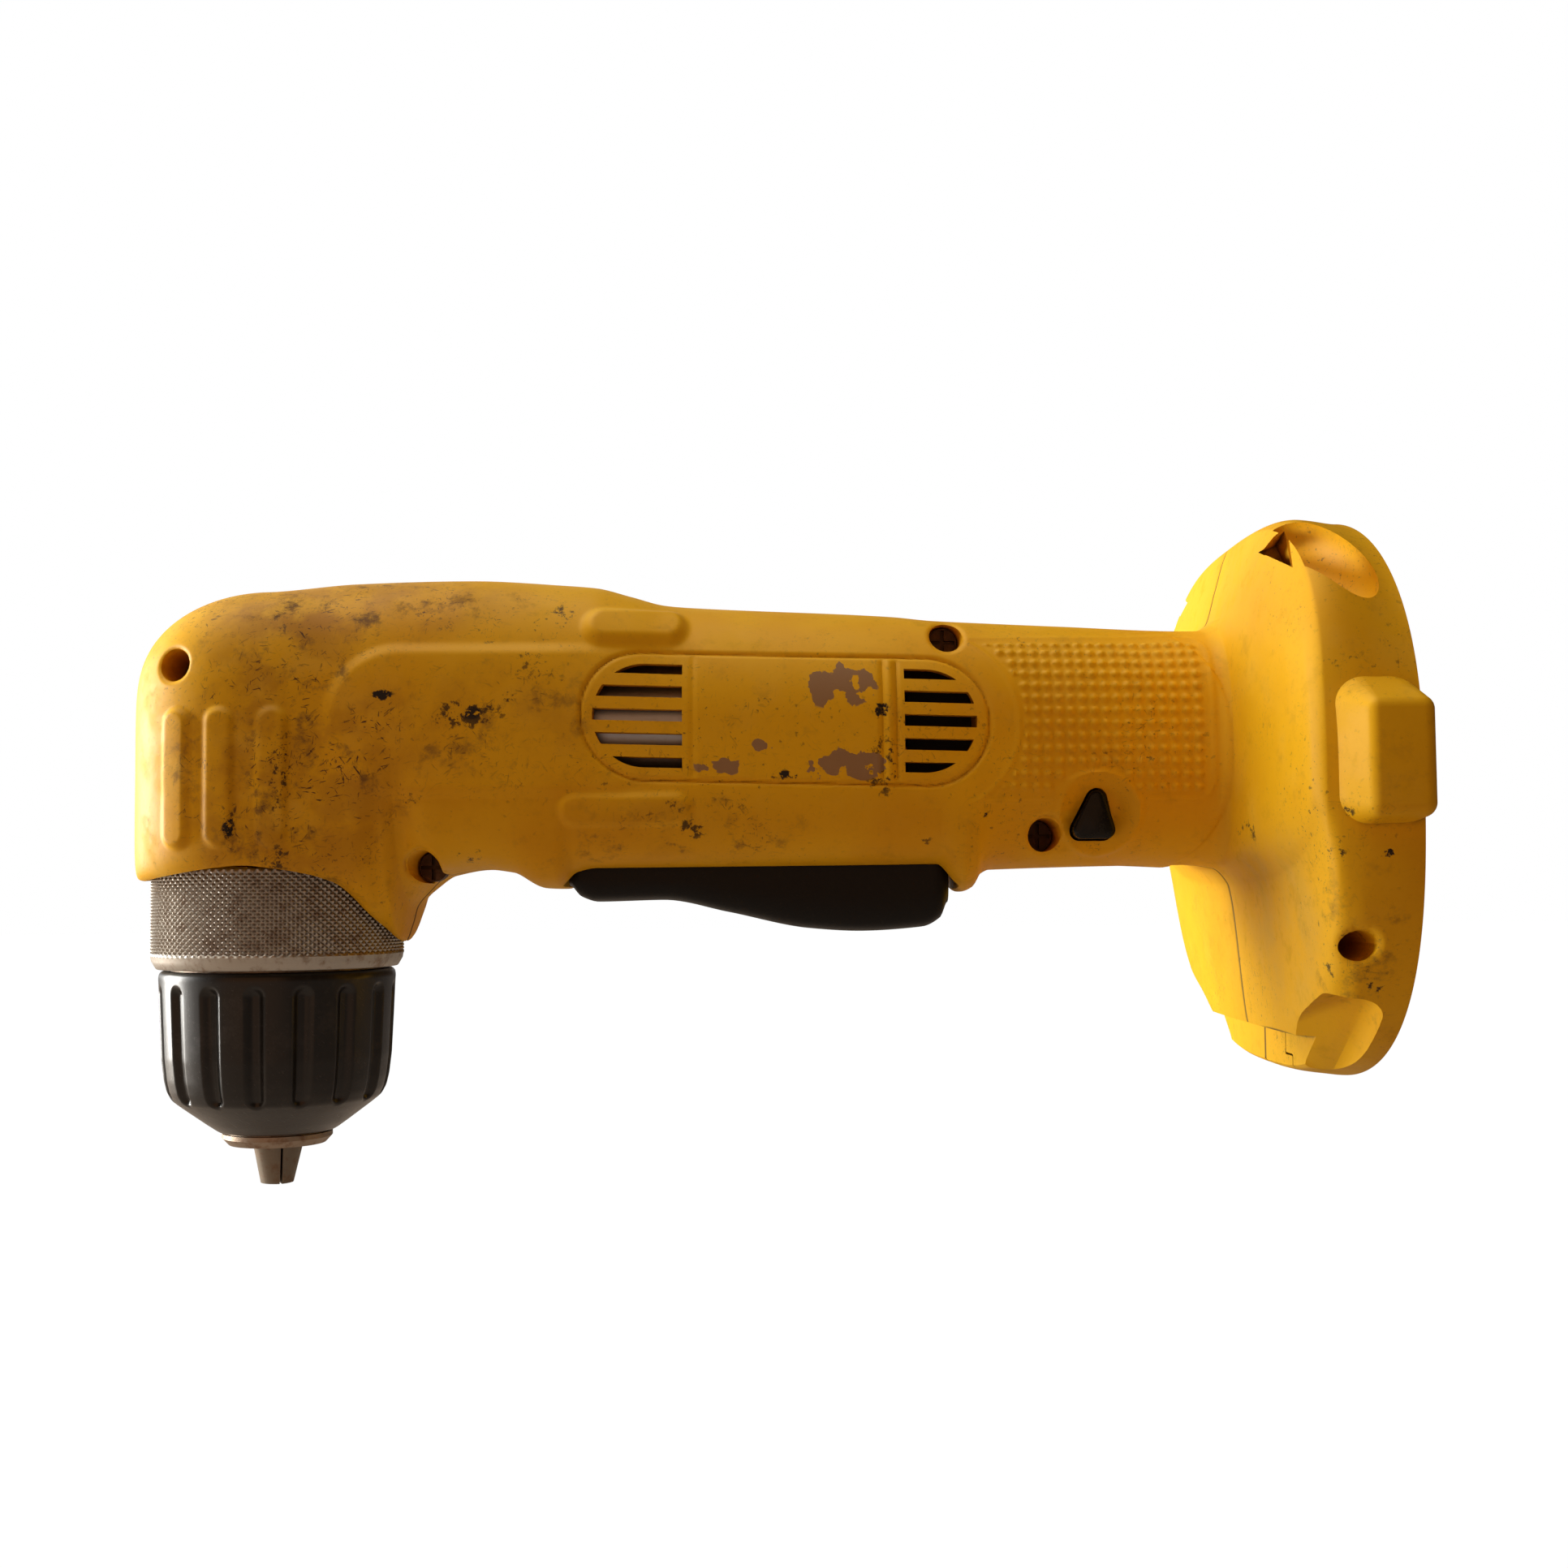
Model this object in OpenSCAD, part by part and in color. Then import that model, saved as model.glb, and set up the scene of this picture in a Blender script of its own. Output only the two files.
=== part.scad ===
// Cordless right-angle drill: two-part shell, motor, planet and bevel gears, keyless chuck, paddle switch.
// Origin at the jaw tips on the chuck axis, +X from the head to the battery foot, +Z up, -Z along the bit.

/* [Chuck] */
// Length of the jaws that stands out of the chuck nose
jaw_reach = 6.3; // [5.5:0.1:7]
// Radius of each jaw rod
jaw_r = 3.1; // [2.8:0.05:3.15]
// Lean of each jaw from the chuck axis
jaw_lean = 14; // [13:0.25:14.5]
// Length of each jaw along its own axis
jaw_len = 29; // [26:0.5:30]
// Way each jaw slides from closed to open
jaw_travel = 16; // [8:0.5:17]
// Radius of the hole left between the closed jaws
bit_r = 0.75; // [0.6:0.05:1]
// Turn of the first jaw about the chuck axis
jaw_turn = -124; // [-180:1:180]
// Radius of the turning sleeve at its upper edge
sleeve_r = 18.5; // [18.2:0.1:19.2]
// Length of the turning sleeve
sleeve_len = 25.7; // [25:0.1:27]
// Number of finger flutes round the sleeve
flute_count = 16; // [8:1:20]
// Radius of the steel collar above the sleeve
collar_r = 19.8; // [19.6:0.1:20.2]
// Length of the steel collar
collar_len = 15.7; // [14:0.1:17]

/* [Gears] */
// Height of the motor axis above the jaw tips
axis_z = 72.2; // [72:0.1:75]
// Teeth on the bevel gear of the spindle
bevel_teeth = 24; // [20:1:26]
// Teeth on the bevel pinion
pinion_teeth = 15; // [13:1:16]
// Module of the bevel teeth at their outer end
bevel_module = 1; // [0.9:0.02:1.02]
// Width of the bevel teeth along the cone
bevel_face = 5; // [4:0.1:5.5]
// Module of the planet stage
planet_module = 0.62; // [0.56:0.01:0.63]
// Radius of the spindle in its lower bearing
spindle_r = 5; // [4.6:0.05:5.2]

/* [Motor] */
// Radius of the motor can
motor_r = 16.8; // [16:0.1:17.2]
// Distance of the motor's front plate from the chuck axis
motor_x = 38; // [38:0.1:39]
// Length of the motor can
motor_len = 53; // [51:0.5:53]
// Radius of the motor shaft
shaft_r = 1.6; // [1.3:0.05:1.8]

/* [Shell] */
// Thickness of the moulded wall
wall = 2.4; // [2:0.1:2.5]
// Reach of the head in front of the chuck axis
head_reach = 22; // [21.8:0.1:23.5]
// Height of the head crown above the motor axis
crown_h = 23.9; // [23.3:0.1:26]
// Depth of the guard behind the chuck below the head's lower edge
guard_drop = 9.8; // [6:0.1:12]
// Half width of the handle
grip_half_w = 18.4; // [18:0.1:19.5]
// Height of the handle at its middle
grip_h = 39; // [38.4:0.1:41]
// Length of the handle from the motor's end to the foot's back face
handle_len = 76; // [75:0.5:85]
// Half width of the foot, across the tool
foot_half_w = 53; // [50:0.5:56]
// Height of the foot
foot_h = 88.4; // [84:0.2:92]
// Height the foot reaches above the handle's top
foot_rise = 17.4; // [15:0.1:20]
// Way the guide block stands out of each side of the foot
guide_out = 5.5; // [3:0.1:7]
// Width of each cooling slot
vent_w = 1.9; // [1.4:0.1:2.2]
// Step from one cooling slot to the next
vent_step = 3.65; // [3.2:0.05:3.7]
// Radius of the screw tunnels
tunnel_r = 2.6; // [2.5:0.05:2.7]

/* [Controls] */
// Half width of the paddle
paddle_half_w = 9.5; // [8:0.1:9.8]
// Depth of the paddle below the shell at its deepest
paddle_drop = 10.1; // [8:0.1:12]
// Wall of the hollow paddle
paddle_wall = 2; // [1.5:0.1:2.4]
// Radius of the circle round the corners of the direction button
button_r = 4.1; // [3.8:0.05:4.3]

/* [Fits] */
// Radial gap of a shaft that turns in its bearing
run_fit = 0.05; // [0.03:0.01:0.08]
// Gap between pieces that move past each other
free_gap = 0.3; // [0.25:0.05:0.35]
// Gap round a piece that sits in the shell
seat_fit = 0.1; // [0.05:0.01:0.15]
// Gap between the collar and the shell round it
collar_gap = 0.8; // [0.6:0.05:0.9]
// Share of the tooth pitch that a spur tooth fills
tooth_fill = 0.86; // [0.8:0.01:0.9]
// Share of the tooth pitch that a bevel tooth fills
bevel_fill = 0.72; // [0.65:0.01:0.75]

/* [Hidden] */
$fn = 64;
overcut = 1;
pressure = 20;
yellow = [0.95, 0.7, 0.08];
black = [0.07, 0.07, 0.08];
steel = [0.62, 0.62, 0.64];
zinc = [0.72, 0.73, 0.74];
bronze = [0.72, 0.5, 0.28];
copper = [0.75, 0.42, 0.25];
carbon = [0.16, 0.16, 0.17];

// Heights along the chuck
nose_len = 1.8;
sleeve_z0 = jaw_reach + nose_len + free_gap;
sleeve_z1 = sleeve_z0 + sleeve_len;
collar_z0 = sleeve_z1 + free_gap;
collar_z1 = collar_z0 + collar_len;
head_floor_z = collar_z1 - 2;
case_z0 = collar_z1 + 0.8;
nose_r = 8.6;
core_r = nose_r - 0.6;
cup_r = core_r + free_gap;
hub_r = min(sleeve_r - 1.9, collar_r - 3.2);
nut_r = sleeve_r - 3;
nut_z0 = sleeve_z0 + 11.5;
nut_len = 5.6;
hub_z0 = nut_z0 + nut_len + 2 * free_gap;
bit_room_r = 5.1;
tip_inset = 0.7;
jaw_gap = 0.2;
cone_len = 8;
thread_r = spindle_r - 0.2;
hole_sides = 12;
hole_r = (jaw_r + run_fit) / cos(180 / hole_sides);
screw_head_r = 3.6;
screw_head_h = 2.6;
screw_shank_r = 2.2;
screw_z0 = (screw_head_r + free_gap + tip_inset + hole_r / cos(jaw_lean)) / tan(jaw_lean);
thread_z0 = (thread_r + 2 * free_gap + tip_inset + hole_r / cos(jaw_lean)) / tan(jaw_lean);
thirds = [0, 1, 2];

// Bevel pair, apex where the two axes cross
gear_r = bevel_module * bevel_teeth / 2;
pinion_r = bevel_module * pinion_teeth / 2;
cone_dist = sqrt(gear_r * gear_r + pinion_r * pinion_r);
gear_angle = atan(gear_r / pinion_r);
pinion_angle = 90 - gear_angle;
addendum_angle = atan(0.85 * bevel_module / cone_dist);
dedendum_angle = atan(1.15 * bevel_module / cone_dist);
toe = 1 - bevel_face / cone_dist;
gear_z = axis_z - pinion_r;
gear_tip_r = pinion_r * tan(gear_angle + addendum_angle);
pinion_tip_r = gear_r * tan(pinion_angle + addendum_angle);

// Bearings and case round the bevel pair
bearing_h = 6;
bearing_r = spindle_r + 6;
bearing_z = case_z0 + 2;
journal_r = 4;
bush_r = journal_r + 2;
bush_z = axis_z + 8;
bush_h = 6;
bush_wall = 1.2;
pinion_shaft_r = 3.5;
pinion_bearing_r = 9.5;
pinion_bearing_x = 15.4;
cavity_r = gear_tip_r + 0.5;
case_r = cavity_r + 1.8;
case_x1 = pinion_bearing_x + bearing_h + 1.2;
arm_r = pinion_bearing_r + 2.2;

// Planet stage
sun_teeth = 12;
planet_teeth = 18;
ring_teeth = sun_teeth + 2 * planet_teeth;
planet_centre_r = planet_module * (sun_teeth + planet_teeth) / 2;
ring_pitch_r = planet_module * ring_teeth / 2;
ring_r = ring_pitch_r + 2.2;
carrier_x = case_x1 + free_gap;
carrier_h = 3;
planet_x = carrier_x + carrier_h + 0.6;
planet_h = 6.8;
pin_r = 1.5;
ring_x = carrier_x + 1;
ring_h = planet_x + planet_h + 2 - ring_x;

// Motor
can_wall = 1.3;
can_r = motor_r - can_wall;
motor_x1 = motor_x + motor_len;
cap_h = 6;
fan_x = motor_x + 3;
fan_h = 4;
core_x = motor_x + 10;
core_h = motor_len - 23;
rotor_r = can_r - 3.9;
commutator_r = 4.6;
commutator_x = core_x + core_h + 4;
commutator_h = motor_x1 - 2 - commutator_x;
brush = [4, 6.4, 4.4];
brush_x = commutator_x + 1.2;

// Outside form
shell_gap = 0.4;
barrel_r = motor_r + shell_gap + wall;
head_half_w = collar_r + collar_gap + 1.2;
crown_z = axis_z + crown_h;
barrel_z1 = axis_z + barrel_r;
belly_z = axis_z - 22.7;
guard_x = collar_r + collar_gap - 0.1;
guard_z = head_floor_z - guard_drop;
grip_x = motor_x1 + 13;
grip_z1 = belly_z + grip_h;
foot_x = motor_x1 + handle_len;
flare_x = foot_x - 19;
crease_x = foot_x - 12.2;
foot_z1 = grip_z1 - 1.4 + foot_rise;
foot_z0 = foot_z1 - foot_h;
foot_mid_z = (foot_z0 + foot_z1) / 2;
floor_x = foot_x - 5.5;
floor_h = 2.5;
socket_w = 28;
socket_z = axis_z - 3;
socket_wall = 2;
scoop_back = 24;
scoop_len = 24;
scoop_lean = 36;
scoop_y = 14.6;
scoop_top = 11.2;
scoop_low = 9;
nose_round = 2.2;
guide_r = 5;
guide_edge_r = 2;
guide_x = [foot_x - 7.8, foot_x - 4.1];
guide_z = [foot_mid_z - 0.5, foot_mid_z + 8.5];
guide_face_x = [foot_x - 5.5, foot_x - 1.1];
guide_face_z = [foot_mid_z - 2.1, foot_mid_z + 8.7];
vent_tilt = 0.6;
vent_front = [motor_x + 14.8, motor_x + 28.4, axis_z + vent_tilt];
vent_rear = [motor_x1 + 9.3, motor_x1 + 20.4, axis_z - vent_tilt];
vent_end_r = 8;
vent_depth = 8;
head_rib_x = [-10.5, -3.5, 4.5];
head_rib_z = [head_floor_z + 7.3, axis_z - 0.1];
head_rib_r = 3.3;
head_rib_h = 0.75;
outer_points = 6;
inner_points = 5;

// Paddle, which reaches back to the switch
switch_x = motor_x1 + cap_h + 4.5;
switch_size = [22, 17, 19];
pivot_x = motor_x + 16;
pivot_z = belly_z + 2.4;
pivot_r = 1.1;
paddle_x0 = pivot_x - 6.2;
paddle_x1 = switch_x + 6.1;
paddle_len = paddle_x1 - paddle_x0;
slot_half_w = paddle_half_w + 0.5;
slot_end_gap = 0.7;
slot_z1 = belly_z + wall + 2.4;
pin_seat = 2.6;
post_r = 1.6;

// Switch, terminals and direction button, a rounded triangle with its point up
switch_z = belly_z + 8.5;
plunger_r = 2.4;
plunger_x = switch_x + plunger_r + 0.9;
plunger_z = belly_z + 0.6;
plunger_len = 12;
button_x = switch_x + switch_size[0] + 5.8;
button_z = belly_z + 7.4;
button_half_len = grip_half_w - 1.3;
button_corner_r = 1.4;
button_corners = [for (a = [80, 228, 312]) (button_r - button_corner_r) * [cos(a), sin(a)]];
dish_r = 9;
dish_depth = 2.5;
block_x = button_x + 4.7;
block_size = [4, 24, 24];
block_z = axis_z - 14.2;
lead_r = 0.9;

// Screws that close the shell: [x, z] of each
boss_r = 3.4;
screw_at = [
  [min(10.6 - head_reach, -bush_r - bush_wall - boss_r - free_gap), crown_z - 14.8],
  [guard_x + 5.5, belly_z + 0.6],
  [motor_x1 + 16.3, grip_z1 - 3.2],
  [motor_x1 + 31, belly_z + 4.7],
  [foot_x - 9.2, foot_z0 + 21.8]
];
screw_r = 1.4;
head_r = 2.3;
head_y = 3;
head_h = 2.4;
screw_len = 13;

// Lines of the outside form: [x, value] points
top_line = [
  [-head_reach, crown_z - 1.8], [0, crown_z - 1.6], [14, crown_z - 0.4], [motor_x - 5, crown_z],
  [motor_x + 9, crown_z - 0.7], [motor_x + 14, crown_z - 1.1], [motor_x + 19.5, crown_z - 2.5],
  [motor_x + 25, barrel_z1 + 0.4], [motor_x + 30, barrel_z1], [motor_x1 + 8, barrel_z1 - 1.7],
  [grip_x + 2, grip_z1 + 0.8], [grip_x + 22, grip_z1 - 0.4], [flare_x, grip_z1 - 1.4],
  [flare_x + 2.6, grip_z1 - 0.2],
  [crease_x - 2.4, foot_z1 - 10.5], [crease_x - 1, foot_z1 - 5.7], [crease_x, foot_z1 - 3.6],
  [crease_x + 4.6, foot_z1 - 1], [foot_x - 2, foot_z1], [foot_x, foot_z1]
];
bottom_line = [
  [-head_reach, head_floor_z], [9, head_floor_z], [12.4, head_floor_z - 0.9], [guard_x - 1.6, guard_z + 1.4],
  [guard_x, guard_z], [guard_x + 1.2, guard_z + 2.8], [guard_x + 2, guard_z + 5.6],
  [guard_x + 3.8, belly_z - 3.4],
  [guard_x + 6.8, belly_z - 0.8], [paddle_x0 - 14.2, belly_z + 0.2], [paddle_x0 - 8.8, belly_z - 0.4],
  [paddle_x0 - 3.6, belly_z - 2.9], [paddle_x0 - 1.4, belly_z - 3], [paddle_x0 + 1.6, belly_z - 0.6],
  [paddle_x0 + 4.7, belly_z], [paddle_x1 - 2.1, belly_z], [paddle_x1 + 0.8, belly_z - 2.9],
  [paddle_x1 + 2.2, belly_z - 4], [paddle_x1 + 3.8, belly_z - 3.4], [paddle_x1 + 5.2, belly_z - 1.3],
  [paddle_x1 + 7.2, belly_z - 0.5],
  [flare_x - 2, belly_z], [flare_x + 3, belly_z - 0.6], [crease_x - 1.4, belly_z - 3],
  [crease_x - 0.8, belly_z - 5.5],
  [crease_x + 1.4, foot_z0 + 8], [crease_x + 2.6, foot_z0 + 4.5], [crease_x + 5, foot_z0 + 2],
  [foot_x - 2, foot_z0 + 0.2], [foot_x, foot_z0]
];
side_line = [
  [-head_reach, head_half_w], [2, head_half_w], [12, head_half_w - 1], [20, head_half_w - 0.6],
  [motor_x + 8, barrel_r + 0.9], [motor_x + 30, barrel_r + 0.4], [motor_x1 + 7, barrel_r],
  [grip_x + 12, grip_half_w], [flare_x - 5, grip_half_w], [flare_x, grip_half_w + 0.4],
  [flare_x + 2, grip_half_w + 2], [crease_x - 3.4, foot_half_w - 20],
  [crease_x - 2.1, foot_half_w - 6], [crease_x - 0.9, foot_half_w - 1.5], [crease_x + 0.8, foot_half_w],
  [foot_x, foot_half_w]
];
mid_line = [
  [-head_reach, axis_z], [motor_x1 + 7, axis_z], [grip_x + 12, axis_z - 3], [flare_x, axis_z - 3.4],
  [crease_x, foot_mid_z], [foot_x, foot_mid_z]
];
upper_round = [
  [-head_reach, 2.8], [20, 2.8], [motor_x + 18, 2.3], [motor_x + 30, 2], [motor_x1 + 7, 2.05],
  [grip_x + 12, 2.5], [flare_x, 2.6], [crease_x, 2.35], [foot_x, 2.25]
];
lower_round = [
  [-head_reach, 9], [9, 9], [guard_x - 5, 4.5], [guard_x, 2.3], [guard_x + 3, 2.3], [guard_x + 5, 5],
  [motor_x + 2, 4.5], [paddle_x1 + 0.4, 4], [grip_x + 14, 2.8], [flare_x, 2.7], [crease_x, 2.9], [foot_x, 2.8]
];
paddle_line = [
  [paddle_x0, belly_z - 2.6], [paddle_x0 + 1.8, belly_z - 4.3], [paddle_x0 + 4.4, belly_z - 5.1],
  [paddle_x0 + 0.246 * paddle_len, belly_z - 4.9], [paddle_x0 + 0.418 * paddle_len, belly_z - 6.9],
  [paddle_x0 + 0.635 * paddle_len, belly_z - paddle_drop + 0.5],
  [paddle_x0 + 0.769 * paddle_len, belly_z - paddle_drop], [paddle_x1 - 4, belly_z - paddle_drop + 0.6],
  [paddle_x1 - 1.2, belly_z - paddle_drop + 2], [paddle_x1, belly_z - paddle_drop + 4.4]
];

function mix(a, b, t) = a + (b - a) * t;

// Slope of a smooth curve at its point i, with no overshoot
function slope(p, i) =
  let (
    a = i == 0 ? 0 : (p[i][1] - p[i - 1][1]) / (p[i][0] - p[i - 1][0]),
    b = i == len(p) - 1 ? 0 : (p[i + 1][1] - p[i][1]) / (p[i + 1][0] - p[i][0])
  )
  a * b <= 0 ? 0 : 2 * a * b / (a + b);

// Value at x of the smooth curve through the points p
function curve(p, x, i = 0) =
  i < len(p) - 2 && x > p[i + 1][0] ? curve(p, x, i + 1)
  : let (
      w = p[i + 1][0] - p[i][0],
      t = max(0, min(1, (x - p[i][0]) / w)),
      s = t * t * (3 - 2 * t)
    )
    mix(p[i][1], p[i + 1][1], s) + w * t * (1 - t) * ((1 - t) * slope(p, i) - t * slope(p, i + 1));

// How far the rounded nose of the head has opened at x, from 0 to 1
function nose(x, round) = x >= 0 ? 1 : pow(max(0, 1 - pow(-x / head_reach, round)), 1 / round);

// Distance that the inside form trails behind the outside one in the flare of the foot
function trail(x, inset) = inset * max(0, min(1, (x - flare_x + 8) / 8));

function section(x, inset, side_points) =
  let (
    q = inset == 0 ? x : x < 0 ? x * head_reach / (head_reach - inset) : x - trail(x, inset),
    top = mix(crown_z - 18.6, curve(top_line, q), nose(q, 2)) - inset,
    bottom = curve(bottom_line, q) + 2.5 * (1 - nose(min(0, q), 8)) + inset,
    half = max(0.4, nose(q, nose_round) * curve(side_line, q) - inset),
    mid = curve(mid_line, q),
    up = 2 / curve(upper_round, q),
    down = 2 / curve(lower_round, q)
  )
  [
    for (i = [0:4 * side_points - 1])
      let (a = 90 * i / side_points, c = cos(a), s = sin(a), e = s >= 0 ? up : down)
        [
          x,
          half * sign(c) * pow(abs(c), e),
          s >= 0 ? mid + (top - mid) * pow(s, e) : mid - (mid - bottom) * pow(-s, e)
        ]
  ];

// Places of the cross sections, with finer steps where the form turns quickly
function stations(x0, x1, step) = concat(
  [for (a = [6:12 * step:78]) x0 * cos(a)],
  [for (x = [0:5:10]) x],
  [for (x = [13:1.4 * step:guard_x + 8]) x],
  [for (x = [guard_x + 10.5:3 * step:motor_x + 26]) x],
  [for (x = [motor_x + 32:10 * step:motor_x1 + 9]) x],
  [for (x = [grip_x:1.8 * step:grip_x + 12]) x],
  [for (x = [grip_x + 16:8:flare_x - 4]) x],
  [for (x = [flare_x - 1:0.8 * step:crease_x + 2]) x],
  [for (x = [crease_x + 3.2:2.6 * step:foot_x - 1]) x],
  [x1]
);

module body_form(inset, side_points, step) {
  xs = stations(inset - head_reach, inset == 0 ? foot_x : foot_x + overcut, step);
  n = 4 * side_points;
  last = len(xs) - 1;
  points = [for (x = xs) each section(x, inset, side_points)];
  faces = concat(
    [[for (j = [0:n - 1]) j]],
    [
      for (i = [0:last - 1], j = [0:n - 1])
        let (k = (j + 1) % n)
          each [[i * n + j, (i + 1) * n + j, i * n + k], [(i + 1) * n + j, (i + 1) * n + k, i * n + k]]
    ],
    [[for (j = [n - 1:-1:0]) last * n + j]]
  );
  polyhedron(points, faces, convexity = 8);
}

module rod_x(x0, x1, r) {
  translate([x0, 0, axis_z])
    rotate([0, 90, 0])
      cylinder(r = r, h = x1 - x0);
}

module rod_y(x, z, y0, y1, r) {
  translate([x, y1, z])
    rotate([90, 0, 0])
      cylinder(r = r, h = y1 - y0);
}

module rod_z(z0, z1, r) {
  translate([0, 0, z0])
    cylinder(r = r, h = z1 - z0);
}

module slab_x(x0, x1) {
  translate([x0, -foot_half_w, 0])
    cube([x1 - x0, 2 * foot_half_w, foot_z1]);
}

// Cooling slots through both side walls, with ends that follow the round ends of the vent panel
module vents() {
  outside = barrel_r + 3;
  intersection() {
    for (group = [vent_front, vent_rear], k = [-2:2], y = [-outside, outside - vent_depth]) {
      translate([group[0], y, group[2] + k * vent_step - vent_w / 2])
        cube([group[1] - group[0], vent_depth, vent_w]);
    }
    hull() {
      rod_y(vent_front[0] + vent_end_r, vent_front[2], -outside, outside, vent_end_r, $fn = 40);
      rod_y(vent_rear[1] - vent_end_r, vent_rear[2], -outside, outside, vent_end_r, $fn = 40);
    }
  }
}

// Raised ribs on both sides of the head
module head_ribs() {
  for (side = [-1, 1], x = head_rib_x) {
    y = nose(x, nose_round) * curve(side_line, x) + head_rib_h - head_rib_r;
    hull() {
      for (z = head_rib_z) {
        translate([x, side * y, z])
          sphere(r = head_rib_r, $fn = 20);
      }
    }
  }
}

// Finger scoops in the rim of the foot, above and below
module scoops() {
  for (side = [-1, 1]) {
    intersection() {
      translate([crease_x + 3, side * (foot_half_w - scoop_y), foot_z1 - scoop_top])
        rotate([side * -scoop_lean, 0, 0])
          scale([6.4, scoop_len / 2, 5.5])
            sphere(r = 1, $fn = 20);
      slab_x(crease_x - 0.2, foot_x);
    }
    intersection() {
      translate([crease_x + 3.4, side * (foot_half_w - scoop_y), foot_z0 + scoop_low])
        rotate([side * scoop_lean, 0, 0])
          scale([5.4, scoop_len / 2, 5.5])
            sphere(r = 1, $fn = 20);
      slab_x(crease_x + 1.2, foot_x);
    }
  }
}

// Guide block on each side of the foot
module guide_blocks() {
  for (side = [-1, 1]) {
    hull() {
      for (x = guide_x, z = guide_z) {
        translate([x, side * (foot_half_w - 3), z])
          sphere(r = guide_r, $fn = 16);
      }
      for (x = guide_face_x, z = guide_face_z) {
        translate([x, side * (foot_half_w + guide_out - guide_edge_r), z])
          sphere(r = guide_edge_r, $fn = 16);
      }
    }
  }
}

module socket_box(x0, x1, grow) {
  w = socket_w + 2 * grow;
  translate([x0, -w / 2, socket_z - w / 2])
    cube([x1 - x0, w, w]);
}

// Ribs, bosses and the walls of the battery socket that stand inside the shell
module ribs() {
  translate([-head_reach, -head_half_w, head_floor_z])
    cube([head_reach + ring_x - 1, 2 * head_half_w, case_z0 + 2 - head_floor_z]);
  slab_x(ring_x + 2.5, ring_x + 5.5);
  slab_x(motor_x + 6, motor_x + 8);
  slab_x(motor_x1 - 6, motor_x1 - 4);
  slab_x(switch_x + 10, switch_x + 12);
  slab_x(block_x, block_x + block_size[0] - 0.5);
  translate([switch_x - 2.5, 0, switch_z + switch_size[2] - overcut])
    cube([12.5, wall, foot_h]);
  slab_x(floor_x, floor_x + floor_h);
  for (s = screw_at) {
    rod_y(s[0], s[1], -foot_half_w, foot_half_w, boss_r, $fn = 18);
  }
  difference() {
    socket_box(block_x, floor_x, socket_wall);
    socket_box(block_x - overcut, floor_x + overcut, 0);
  }
  for (z = [foot_z0, foot_z1 - scoop_back]) {
    translate([flare_x, -foot_half_w, z])
      cube([floor_x - flare_x, 2 * foot_half_w, scoop_back]);
  }
}

module switch_box(grow) {
  translate([switch_x - grow, -switch_size[1] / 2 - grow, switch_z - grow])
    cube([switch_size[0] + 2 * grow, switch_size[1] + 2 * grow, switch_size[2] + 2 * grow]);
}

module block_box(grow) {
  translate([block_x - grow, -block_size[1] / 2 - grow, block_z - grow])
    cube([block_size[0] + 2 * grow, block_size[1] + 2 * grow, block_size[2] + 2 * grow]);
}

// Direction button, or its hole when grown, out to half_len on both sides
module button_bar(half_len, grow) {
  translate([button_x, half_len, button_z])
    rotate([90, 0, 0])
      linear_extrude(height = 2 * half_len)
        hull() {
          for (p = button_corners) {
            translate(p)
              circle(r = button_corner_r + grow, $fn = 24);
          }
        }
}

// Space taken out of the shell for the pieces that it holds
module seats() {
  $fn = 40;
  rod_z(0, case_z0 - 0.2, collar_r + collar_gap);
  rod_z(case_z0 - overcut, axis_z, case_r + seat_fit);
  rod_x(carrier_x - overcut, motor_x - 1, ring_r + seat_fit);
  rod_x(motor_x - 1, motor_x1 + cap_h + 1, motor_r + seat_fit);
  switch_box(seat_fit);
  block_box(seat_fit);
  socket_box(floor_x - overcut, floor_x + floor_h + overcut, 0);
  translate([paddle_x0 - slot_end_gap, -slot_half_w, guard_z])
    cube([paddle_x1 - paddle_x0 + 3 * slot_end_gap, 2 * slot_half_w, slot_z1 - guard_z]);
  rod_y(pivot_x, pivot_z, -slot_half_w - pin_seat, slot_half_w + pin_seat, pivot_r + run_fit);
  button_bar(foot_half_w, free_gap);
  for (side = [-1, 1]) {
    translate([button_x, side * (grip_half_w + dish_r - dish_depth), button_z])
      sphere(r = dish_r, $fn = 24);
  }
  for (s = screw_at) {
    rod_y(s[0], s[1], -foot_half_w - 8, -head_y, tunnel_r, $fn = 20);
    rod_y(s[0], s[1], -head_y - overcut, screw_len - head_y, screw_r + run_fit, $fn = 16);
  }
}

module shell() {
  difference() {
    union() {
      body_form(0, outer_points, 1);
      guide_blocks();
      head_ribs();
    }
    difference() {
      body_form(wall, inner_points, 2);
      ribs();
    }
    seats();
    vents();
    scoops();
  }
}

module half_space(side) {
  translate([-head_reach - overcut, side < 0 ? -foot_half_w - 20 : 0, -overcut])
    cube([head_reach + foot_x + 20, foot_half_w + 20, foot_z1 + 20]);
}

module housing_left() {
  color(yellow)
    intersection() {
      shell();
      half_space(-1);
    }
}

module housing_right() {
  color(yellow)
    intersection() {
      shell();
      half_space(1);
    }
}

module housing_screws() {
  color(steel)
    for (s = screw_at) {
      difference() {
        rod_y(s[0], s[1], -head_y - head_h, -head_y, head_r);
        translate([s[0] - 2, -head_y - head_h - overcut, s[1] - 0.3])
          cube([4, overcut + 0.8, 0.6]);
        translate([s[0] - 0.3, -head_y - head_h - overcut, s[1] - 2])
          cube([0.6, overcut + 0.8, 4]);
      }
      rod_y(s[0], s[1], -head_y, screw_len - head_y - 1, screw_r);
    }
}

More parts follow.
